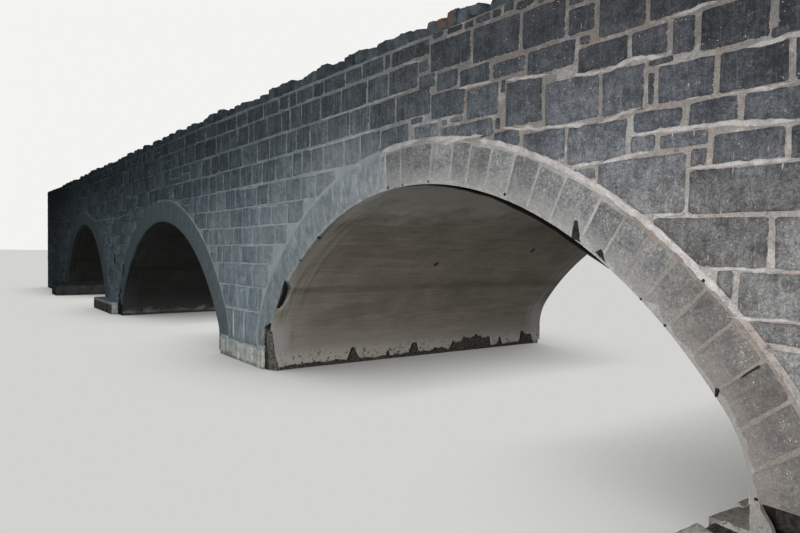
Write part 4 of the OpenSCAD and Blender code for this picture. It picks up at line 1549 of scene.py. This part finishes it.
def near_pier():
    """Core of the near pier above its footing, and the core laid bare at the corner that has broken away."""
    piece = Piece("near_pier_core")
    left, right = arches["middle"], arches["near"]
    rows = []
    for z in np.linspace(SPRING_Z, SPRING_Z + 1.0, 24):
        lo, hi = left.x + left.half_width(z, ARCH_T), right.x - right.half_width(z, ARCH_T)
        rows.append([(lo, -FACE, z), (hi, -FACE, z), (hi, FACE, z), (lo, FACE, z)])
    strip(piece, np.array(rows), 0, False)
    lo, hi = left.x + left.half, right.x - right.half
    low, high = (lo + 0.008, -FACE + 0.004, 0.28), (hi - SPALL_X, FACE - 0.004, SPRING_Z + 0.02)
    rough_block(piece, low, high, 0.08, 0.006, 0)
    # core behind the broken corner, painted darker as shade
    low, high = (hi - SPALL_X - 0.1, -FACE + 0.16, 0.28), (hi - 0.012, FACE - 0.01, SPRING_Z + 0.02)
    rough_block(piece, low, high, 0.08, 0.012, 1, dark=0.4)

    def corner(points):
        """Bends a block, measured back from the arch's edge, into the core laid bare at the corner."""
        back, deep, z = points.T.copy()
        z = np.where(z > 0.6, z - 0.16 * np.clip(1 - back / 0.2, 0, 1), z)
        edge = np.array([right.x - right.half_width(max(height, SPRING_Z), 0.0) for height in z])
        share = 1 - back / 0.29
        face = -FACE + 0.010 + share * (0.045 + 0.085 * np.clip((0.72 - z) / 0.5, 0, 1))
        uneven = ripple(np.column_stack([z, z, z]), 0.12, 5)
        edge = edge - 0.03 * np.clip((z - 0.2) / 0.5, 0, 1) + 0.02 * uneven
        return np.column_stack([edge + 0.004 - back, face + deep / 0.2 * (-FACE + 0.2 - face), z])

    def shade(points):
        """Painted shade of that core, deepest beside and under the stones that are left."""
        left = hi - SPALL_X + 0.07 + 0.04 * ripple(points, 0.12, 3) - points[:, 0]
        return np.clip(np.maximum(left / 0.05, (points[:, 2] - SPALL_TOP + 0.09) / 0.04), 0, 1) * 0.9
    rough_block(piece, (0.0, 0.0, 0.0), (0.29, 0.2, SPALL_TOP + 0.05), 0.03, 0.022, 1, corner, dark=shade)
    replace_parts(piece.build([MORTAR, CORE], 60.0), "near_pier")


def near_pier_footing():
    """Footing flush with the near pier: blocks with torn tops on each face, and the core between them."""
    low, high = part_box("near_pier_footing")
    piece = Piece("near_pier_footing_body")
    local = random.Random(17)
    for sign in (-1, 1):
        ends = (low[0] + 0.01, 3.38, 3.60, 4.10, 4.69, 4.97, high[0] - (SPALL_X if sign < 0 else 0.01))
        for number, (x0, x1) in enumerate(zip(ends, ends[1:])):
            y0, y1 = sorted((sign * (FACE + 0.012), sign * (FACE - 0.14)))
            top = local.uniform(0.325, 0.37)
            notches = torn(top, 0.06, 0.12, number)
            rough_block(piece, (x0 + 0.012, y0, 0), (x1 - 0.012, y1, top), 0.03, 0.012, 0, notches, 0.76)
    # the core between the blocks and behind them, painted darker as shade
    left, right, top = low[0] + 0.03, high[0] - SPALL_X - 0.03, high[2]
    rough_block(piece, (left, -FACE + 0.05, 0), (right, FACE - 0.05, top), 0.1, 0.02, 1, dark=0.8)
    right = high[0] - 0.02
    rough_block(piece, (left, -FACE + 0.16, 0), (right, FACE - 0.02, top), 0.07, 0.025, 1, dark=0.45)
    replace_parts(piece.build([CONCRETE, CORE], 60.0, "footing_concrete"), "near_pier_footing")


def far_pier_footing():
    """Block across each nose of the far pier, broken off at one end, and the core and footing behind it."""
    low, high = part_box("far_pier_footing")
    pier = arches["middle"].x - arches["middle"].half
    piece = Piece("far_pier_footing_body")
    broken = pier - 0.44

    def chip(points):
        """Breaks the end of a block back, raggedly, and further back towards its nose at the front."""
        end = np.clip((points[:, 0] - broken + 0.5) / 0.5, 0, 1)
        across = points * np.array([0.0, 1.0, 1.0])
        ragged_end = 0.10 * ripple(across, 0.14, 6) + 0.05 * ripple(across, 0.05, 7)
        nose = np.clip((-FACE - 0.1 - points[:, 1]) * 1.2, 0, 1) * (points[:, 1] < 0)
        points = points.copy()
        points[:, 0] += end * (ragged_end - 0.06 - 0.35 * nose)
        return points

    def painted_top_light_face_shade(points):
        """Painted light and shade of the block: pale on top, darker on its face."""
        return np.where((points[:, 2] < high[2] - 0.06) & (np.abs(points[:, 1]) > high[1] - 0.05), 0.21, 0.88)
    for y0, y1 in ((low[1], low[1] + 0.42), (high[1] - 0.42, high[1])):
        rough_block(piece, (low[0], y0, 0), (broken, y1, high[2]), 0.05, 0.018, 0, chip, painted_top_light_face_shade)
    rough_block(piece, (low[0] + 0.76, low[1] + 0.23, 0), (pier - 0.02, high[1] - 0.23, 0.3), 0.1, 0.03, 1)
    # footing set back between the noses, painted darker as shade
    left, right = low[0] + 0.75, pier - 0.006
    rough_block(piece, (left, -FACE + 0.28, 0), (right, FACE - 0.05, 0.3), 0.06, 0.03, 0, None, 0.16)
    # the hollow under the front: a thin sheet out of the face, nearly black with painted shade
    hollow = np.array([(-4.90, 0.02), (pier - 0.02, 0.02), (pier - 0.03, 0.27), (-4.50, 0.36), (-4.55, 0.49),
                       (-4.66, 0.45), (-4.72, 0.34), (-4.86, 0.30)])
    patch(piece, front, ragged(hollow, 0.035, 0.09), 0.013, 1, dark=0.9)
    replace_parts(piece.build([CONCRETE, CORE], 60.0, "footing_concrete"), "far_pier_footing")


def far_abutment_footing():
    """Ledge along the far abutment, with loose mortar banked up on it against the wall."""
    low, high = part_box("far_abutment_footing")
    piece = Piece("far_abutment_footing_body")

    def ease(points):
        """Draws the far end of the ledge in a little."""
        points = points.copy()
        far = np.clip((low[0] + 0.5 - points[:, 0]) / 0.5, 0, 1)
        points[:, 1] *= 1 - 0.05 * far ** 2
        points[:, 2] = np.where(points[:, 2] > 0.01, points[:, 2] - 0.05 * far ** 2, points[:, 2])
        return points
    # painted shade: the whole ledge is made darker
    rough_block(piece, tuple(low), tuple(high), 0.1, 0.016, 0, ease, 0.25)

    def banked(points):
        """Slopes the top of a block up towards the wall."""
        points = points.copy()
        back = np.clip((high[0] - 0.02 - points[:, 0]) / 0.27, 0, 1)
        points[:, 2] = np.where(points[:, 2] > high[2], high[2] - 0.01 + 0.14 * back, points[:, 2])
        return points
    foot = (high[0] - 0.29, low[1] + 0.1, high[2] - 0.06)
    head = (high[0] - 0.02, high[1] - 0.1, high[2] + 0.1)
    rough_block(piece, foot, head, 0.08, 0.012, 0, banked, 0.2)
    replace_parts(piece.build([CONCRETE], 60.0, "footing_concrete"), "far_abutment_footing")


def near_abutment_footing():
    """Low broken slab at the near abutment, with the washed-out hollow under the foot of each ring."""
    low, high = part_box("near_abutment_footing")
    piece = Piece("near_abutment_footing_body")
    spring = arches["near"].x + arches["near"].half
    top = high[2]
    for sign in (-1, 1):
        def across(a, b):
            """Two distances from the middle of the road, as places on this side."""
            return sorted((sign * a, sign * b))
        y0, y1 = across(FACE + 0.45, FACE + 0.10)

        def broken_edge(points):
            """Lets the slab's edge towards the pier run out from the wall at a slant."""
            inner = np.clip((np.abs(points[:, 1]) - FACE - 0.10) / 0.35, 0, 1)
            end = np.clip((points[:, 0] - low[0] - 0.05) / 0.3, 0, 1)
            points = points.copy()
            points[:, 1] += sign * (1 - inner) * end * 0.16
            return points
        # painted light and shade: the slab's top is paler than its sides
        rough_block(piece, (low[0], y0, 0), (high[0], y1, 0.158), 0.04, 0.012, 0, broken_edge,
                    lambda points: np.where(points[:, 2] > 0.12, 0.95, 0.6))
        y0, y1 = across(FACE + 0.15, FACE - 0.1)
        rough_block(piece, (low[0] + 0.03, y0, 0), (high[0], y1, 0.135), 0.035, 0.03, 1, dark=0.25)
        y0, y1 = across(FACE - 0.02, FACE - 0.07)
        notches = torn(0.17, 0.03, 0.09, 5)
        rough_block(piece, (low[0] + 0.02, y0, 0.08), (spring, y1, 0.172), 0.03, 0.016, 0, notches, 0.45)
        # the body beside the hollow, and the core left in it; in the hollow both are painted darker as shade
        y0, y1 = across(FACE, FACE - 0.3)
        rough_block(piece, (spring, y0, 0.1), (spring + 0.075, y1, top + 0.008), 0.035, 0.010, 0, None, 0.5,
                    lambda points: 0.9 * (points[:, 0] > spring + 0.04))
        rough_block(piece, (spring + 0.74, y0, 0.1), (high[0], y1, top + 0.004), 0.06, 0.010, 0, None, 0.45)
        y0, y1 = across(FACE - 0.015, FACE - 0.3)
        rough_block(piece, (spring + 0.06, y0, 0.0), (spring + 0.8, y1, 0.20), 0.04, 0.04, 1, dark=0.6)
        y0, y1 = across(FACE - 0.2, FACE - 0.32)
        rough_block(piece, (spring - 0.02, y0, 0.1), (spring + 0.8, y1, top + 0.015), 0.05, 0.03, 1, dark=0.8)
        wall = front if sign < 0 else back
        tongue = np.array([(0.005, 0.15), (0.17, 0.15), (0.16, 0.22), (0.11, 0.3), (0.07, 0.35), (0.07, 0.39),
                           (0.005, 0.39)])
        tongue = ragged(tongue + (spring, 0.0), 0.006, 0.05, 8)
        patch(piece, wall, tongue, 0.010, 3, rim=0.0, dark=0.2)
    y1 = FACE - 0.03
    rough_block(piece, (low[0], -y1, 0), (spring + 0.05, y1, 0.165), 0.05, 0.014, 0, None, 0.34)
    rough_block(piece, (spring, -FACE + 0.28, 0), (high[0], FACE - 0.28, top), 0.12, 0.012, 0)
    low_x, notches = low[0] - 0.004, torn(0.2, 0.05, 0.1, 4)
    rough_block(piece, (low_x, -2.78, 0), (low[0] + 0.11, -2.50, 0.205), 0.03, 0.035, 3, notches, dark=0.3)
    made = piece.build([CONCRETE, CORE, FRESH, MORTAR], 60.0, "footing_concrete")
    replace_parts(made, "near_abutment_footing")


near_pier()
near_pier_footing()
far_pier_footing()
far_abutment_footing()
near_abutment_footing()


# Mortar smeared over the joints, and drips of it on the stones


def smear(piece, wall, centre, half, seed, flat=1.0):
    """Raised ribbon of fresh mortar along a line of points, ragged on both sides."""
    length, at = measured(np.asarray(centre, float))
    count = max(6, int(length / 0.03))
    line = at(np.linspace(0, length, count))
    tangent = np.gradient(line, axis=0)
    tangent /= np.hypot(tangent[:, 0], tangent[:, 1])[:, None]
    normal = np.stack([-tangent[:, 1], tangent[:, 0]], -1)
    rows = []
    taper = np.clip(np.minimum(np.arange(count), np.arange(count)[::-1]) / 3, 0.15, 1)
    section = ((-1.0, -0.01), (-0.8, 0.008), (-0.2, 0.0145), (0.4, 0.014), (0.8, 0.008), (1.0, -0.01))
    for share, out in section:
        places = np.column_stack([line, np.full(count, seed + np.sign(share) * 3)])
        wide, narrow = ripple(places, 0.1, 1), ripple(places, 0.04, 2)
        spread = half * taper * (0.9 + 0.8 * flat * wide + 0.6 * flat * narrow)
        rough = 0.002 * ripple(places, 0.05, 3) if out > 0 else 0.0
        raised = (out * flat if out > 0 else out) * np.ones(count) + rough
        rows.append(wall.at(line + normal * (share * spread)[:, None], raised))
    strip(piece, np.stack(rows, 1), 0, wall.flip)


# Fresh mortar along the joints of the near end: points along the middle of each ribbon and half its width
SMEARS = (
    (0.024, ((11.68, 3.48), (11.83, 3.51), (12.0, 3.54), (12.27, 3.5))),
    (0.024, ((12.29, 3.77), (12.55, 3.79), (12.7, 3.79))),
    (0.022, ((11.69, 3.08), (11.89, 3.13), (12.08, 3.15))), (0.022, ((12.43, 3.145), (12.56, 3.15))),
    (0.020, ((12.71, 3.13), (12.88, 3.13), (13.2, 3.125))),
    (0.022, ((12.88, 3.42), (13.1, 3.43), (13.3, 3.435))),
    (0.024, ((11.97, 2.94), (12.18, 2.945), (12.39, 2.95), (12.65, 2.93), (12.8, 2.93), (13.2, 2.885))),
    (0.026, ((11.7, 2.75), (11.95, 2.785), (12.2, 2.80))),
    (0.020, ((12.47, 2.645), (12.9, 2.65), (13.23, 2.645))),
    (0.022, ((10.61, 3.64), (10.94, 3.61), (11.17, 3.585))), (0.034, ((10.84, 3.165), (10.96, 3.165))),
    (0.022, ((11.4, 3.53), (11.67, 3.5), (11.81, 3.505))),
    (0.022, ((10.56, 3.2), (10.84, 3.155), (11.04, 3.13), (11.34, 3.11), (11.6, 3.1))),
    (0.022, ((11.4, 2.75), (11.6, 2.765), (11.74, 2.775))),
    (0.015, ((9.89, 3.69), (10.21, 3.68), (10.45, 3.67))),
    (0.009, ((8.87, 4.15), (9.14, 4.13), (9.36, 4.10))),
    (0.018, ((12.8, 1.6), (13.0, 1.6), (13.25, 1.61))), (0.024, ((12.18, 2.32), (12.45, 2.31))),
    (0.018, ((12.62, 1.925), (12.9, 1.93), (13.2, 1.93))),
    (0.028, ((9.65, 3.15), (9.95, 3.175), (10.3, 3.165))),
    (0.016, ((9.0, 3.25), (9.3, 3.235))), (0.015, ((9.4, 3.41), (9.65, 3.405))),
    (0.014, ((6.6, 3.42), (7.4, 3.43), (8.4, 3.48))), (0.013, ((6.55, 4.13), (6.85, 4.14))),
    (0.012, ((7.0, 3.79), (7.9, 3.8), (9.0, 3.83))),
)
# Outer edge of the near ring where the mortar is fresh: shares of the intrados
RING_SMEARS = ((0.600, 0.875), (0.52, 0.58), (0.44, 0.50))
# Pale mortar along the outer edges of the other rings, and along beds between and beyond them
FAR_LINES = (
    (0.012, ((-1.02, 3.03), (0.06, 3.01), (0.55, 2.935), (1.25, 2.705), (1.9, 2.37), (2.3, 2.1))),
    (0.016, ((-9.68, 3.1), (-8.53, 2.86), (-7.86, 2.72), (-7.23, 2.73))),
    (0.014, ((-7.1, 2.735), (-4.86, 2.74), (-3.6, 2.82))), (0.016, ((-15.42, 2.84), (-12.64, 2.845))),
    (0.014, ((-3.8, 3.235), (-2.7, 3.245))), (0.012, ((3.42, 0.89), (4.68, 0.91))),
    (0.010, ((3.85, 0.42), (3.85, 0.86))), (0.010, ((4.34, 0.42), (4.34, 0.88))),
)
# Short drips of mortar on the stones: left edge and foot
DRIPS = (
    (11.51, 2.81), (11.66, 2.81), (11.49, 3.90), (12.35, 2.88), (12.52, 2.87), (12.18, 2.38), (12.31, 2.39),
    (12.81, 2.58), (12.96, 2.58), (13.13, 2.58), (12.65, 1.98), (12.95, 1.99), (12.89, 1.65), (13.01, 1.66),
    (13.17, 1.66), (12.81, 2.68), (13.04, 2.70),
)


# Chips, open joints and holes in the front, drawn as thin patches nearly black with painted shade: outline,
# and how far each stands out of the face
OPEN_JOINTS = (
    (((11.46, 2.295), (11.43, 2.15), (11.53, 2.105), (11.495, 2.295)), 0.010),
    (((11.68, 2.03), (11.79, 1.94), (11.74, 2.055)), 0.010),
    (((12.725, 1.03), (12.755, 1.03), (12.76, 1.09), (12.73, 1.09)), 0.010),
    (((12.9, 1.187), (12.97, 1.243), (13.03, 1.283), (13.023, 1.3), (12.96, 1.252), (12.9, 1.193)), 0.009),
    (((-5.27, 1.45), (-5.19, 1.45), (-5.2, 1.73), (-5.26, 1.74)), 0.013),
    (((-5.93, 1.05), (-5.83, 1.06), (-5.84, 1.2), (-5.92, 1.21)), 0.013),
    (((-4.2, 1.13), (-4.12, 1.14), (-4.13, 1.45), (-4.19, 1.45)), 0.013),
    (((-4.74, 0.52), (-4.56, 0.50), (-4.57, 0.59), (-4.72, 0.60)), 0.013),
    (((-4.55, 0.62), (-4.42, 0.63), (-4.44, 0.76), (-4.53, 0.74)), 0.013),
    (((-4.96, 0.66), (-4.86, 0.66), (-4.87, 0.74), (-4.95, 0.75)), 0.013),
)
# Small round pits at the edges of stones, patches of painted shade: place and radius
PITS = (
    (12.62, 1.84, 0.014), (12.12, 1.675, 0.010), (12.33, 1.49, 0.011), (10.62, 2.56, 0.016),
    (8.67, 2.75, 0.018), (8.96, 2.76, 0.014), (9.44, 2.77, 0.014), (6.41, 1.83, 0.02), (6.95, 2.16, 0.02),
    (13.03, 0.40, 0.014),
)


def open_joints():
    """Patches of painted shade for the chips, open joints and pits."""
    piece = Piece("open_joints")
    for number, (outline, out) in enumerate(OPEN_JOINTS):
        patch(piece, front, ragged(np.array(outline), 0.006, 0.05, number), out, 0, dark=0.85)
    for x, z, radius in PITS:
        turn = np.linspace(0, 2 * math.pi, 9)[:-1]
        pit = np.stack([x + radius * np.cos(turn), z + radius * np.sin(turn)], -1)
        patch(piece, front, ragged(pit, 0.004, 0.03, 2), 0.0095, 0, dark=0.9)
    piece.build([CORE], 50.0)


open_joints()


def fresh_mortar():
    """Fresh mortar along joints, rings and beds, its drips, and thin lines of it here and there."""
    piece = Piece("fresh_mortar")
    for number, (half, line) in enumerate(SMEARS):
        smear(piece, front, line, half, 300 + number)
    arch = arches["near"]
    for number, (s0, s1) in enumerate(RING_SMEARS):
        smear(piece, front, arch.point(np.linspace(s0, s1, 30), ARCH_T + 0.018), 0.036, 340 + number, 0.65)
    for number, (x, z) in enumerate(DRIPS):
        smear(piece, front, ((x, z), (x + 0.002, z + 0.05)), 0.006, 360 + number)
    local = random.Random(9)
    for number in range(46):
        x = local.uniform(-11, 8.5)
        bed = local.choice(BEDS[4:-1])
        if free_stretches(x, x + 0.5, bed - 0.05, ARCH_T + 0.1) != [(x, x + 0.5)]:
            continue
        long = local.uniform(0.2, 0.9)
        line = [(x + long * t, float(level(bed)(x + long * t))) for t in (0, 0.5, 1)]
        smear(piece, front, line, local.uniform(0.006, 0.01), 400 + number)
    for number, (half, line) in enumerate(FAR_LINES):
        smear(piece, front, line, half, 500 + number)
    piece.build([FRESH], 50.0)


fresh_mortar()


# Wing tops, and loose stones on the road


def wing_tops():
    """Flat stones bedded on the wings; the far ones under a skin of stained mortar."""
    local = random.Random(77)
    seed = 60000
    for sign, top_z in ((1, WING_TOP), (-1, FAR_WING_TOP)):
        for side, y0, y1 in (("_front", -FACE, WALL_T - FACE), ("_back", FACE - WALL_T, FACE)):
            lo, hi = sorted((sign * WING_X, sign * HALF_LENGTH))
            name = ("near" if sign > 0 else "far") + side + "_wing_top"
            piece = Piece(name)
            plane = Wall((0, 0, top_z), (1, 0, 0), (0, 0, 1), (0, 1, 0))
            for a, b, _, _ in lay(lo, hi, 0, 0.2, local):
                seed += 1
                x0, x1, low, high = a + 0.02, b - 0.02, y0 + 0.012, y1 - 0.012
                outline = cut_stone([(x0, low), (x1, low), (x1, high), (x0, high)], seed, 0.008, FEW_POINTS)
                stone(piece, plane, outline, seed, False, 0 if sign > 0 else 1, 0.012, 0.006)
            piece.build([COPING, STAINED], 40.0, "coping_stone")


wing_tops()


def pebbles():
    """Loose stones on the road, thickest along the parapets."""
    local = random.Random(31)
    points, sizes = [], []
    for _ in range(1500):
        x = local.uniform(-HALF_LENGTH, HALF_LENGTH)
        y = (FACE - WALL_T - 0.04 - abs(local.gauss(0, 0.55))) * local.choice((-1, 1))
        size = local.uniform(0.012, 0.045)
        points.append((x, y, ROAD_TOP - float(fall(x)) + 0.15 * size))
        sizes.append((size * local.uniform(0.8, 1.4), size, size * 0.7))
    piece = Piece("road_pebbles")
    lumps = [lump(f"pebble_{i}", 90 + i, 2.6, 1) for i in range(4)]
    verts, faces, tones = scatter("pebble_points", points, sizes, lumps, COPING, 12, 1.5)
    piece.add(verts, faces, 0, tone=tones * 0.9)
    piece.build([COPING], 30.0, "road_gravel")


pebbles()


# Floor, light and background


def studio():
    """Plain floor and background, and soft lamps round the bridge."""
    scene = bpy.context.scene
    scene.view_settings.view_transform = "Standard"
    mesh = bpy.data.meshes.new("floor")
    reach = 160.0
    corners = [(x * reach, y * reach, 0) for x, y in ((-1, -1), (1, -1), (1, 1), (-1, 1))]
    mesh.from_pydata(corners, [], [(0, 1, 2, 3)])
    floor = bpy.data.objects.new("floor", mesh)
    scene.collection.objects.link(floor)
    material, add, _ = start("studio_floor")
    tree = material.node_tree
    dull = {"Base Color": linear("#b4b4b2"), "Roughness": 0.9, "Specular IOR Level": SHEEN}
    lit = put(tree, "ShaderNodeBsdfPrincipled", None, dull)
    # The camera sees the floor pale, with a soft shadow under the bridge, and a pale background. Only camera
    # rays do, because the bridge has neither metal nor glass, and white reflections would whiten its stones.
    under = put(tree, "ShaderNodeAmbientOcclusion", {"samples": 16}, {"Distance": 2.5}).outputs["AO"]
    pale = add("mix", add("step", under, 0.0, 1.0), "#5f5e5c", "#d2d2cf")
    shown = put(tree, "ShaderNodeEmission", None, {"Color": pale, "Strength": 1.0})
    seen = put(tree, "ShaderNodeLightPath").outputs["Is Camera Ray"]
    mixed = put(tree, "ShaderNodeMixShader", None, {0: seen, 1: lit.outputs[0], 2: shown.outputs[0]})
    put(tree, "ShaderNodeOutputMaterial", None, {"Surface": mixed.outputs[0]})
    mesh.materials.append(material)
    world = bpy.data.worlds.new("studio")
    scene.world = world
    world.use_nodes = True
    tree = world.node_tree
    tree.nodes.clear()
    soft = put(tree, "ShaderNodeBackground", None, {"Color": linear("#dfecf2"), "Strength": 0.085})
    shown = put(tree, "ShaderNodeBackground", None, {"Color": linear("#f3f3f1"), "Strength": 1.0})
    seen = put(tree, "ShaderNodeLightPath").outputs["Is Camera Ray"]
    mixed = put(tree, "ShaderNodeMixShader", None, {0: seen, 1: soft.outputs[0], 2: shown.outputs[0]})
    put(tree, "ShaderNodeOutputWorld", None, {"Surface": mixed.outputs[0]})

    def softbox(name, place, target, size, power, long=None, spread=math.pi):
        """Flat lamp at a place, turned to a target, with its sizes, its watts and the spread of its light."""
        data = bpy.data.lights.new(name, "AREA")
        data.shape = "RECTANGLE"
        data.size, data.size_y = long or size, size
        data.spread = spread
        data.energy = power
        lamp = bpy.data.objects.new(name, data)
        lamp.location = place
        lamp.rotation_euler = (Vector(target) - Vector(place)).to_track_quat("-Z", "Y").to_euler()
        scene.collection.objects.link(lamp)
    softbox("key", (17.0, -16.5, 3.4), (7.5, -3.0, 1.8), 4.5, 2350.0)
    softbox("fill", (-2.0, 26.0, 9.0), (0.0, 3.0, 2.0), 9.0, 900.0)
    softbox("back", (-12.0, 26.0, 8.0), (1.0, 3.0, 2.0), 8.0, 5000.0)
    softbox("near end", (28.0, 0.0, 5.0), (18.0, 0.0, 2.5), 5.5, 420.0)
    softbox("far end", (-28.0, 0.0, 5.0), (-18.0, 0.0, 2.5), 5.5, 900.0)
    softbox("top", (0.0, 0.0, 12.0), (0.0, 0.0, 4.0), 4.0, 450.0, 36.0, math.radians(28.0))


studio()
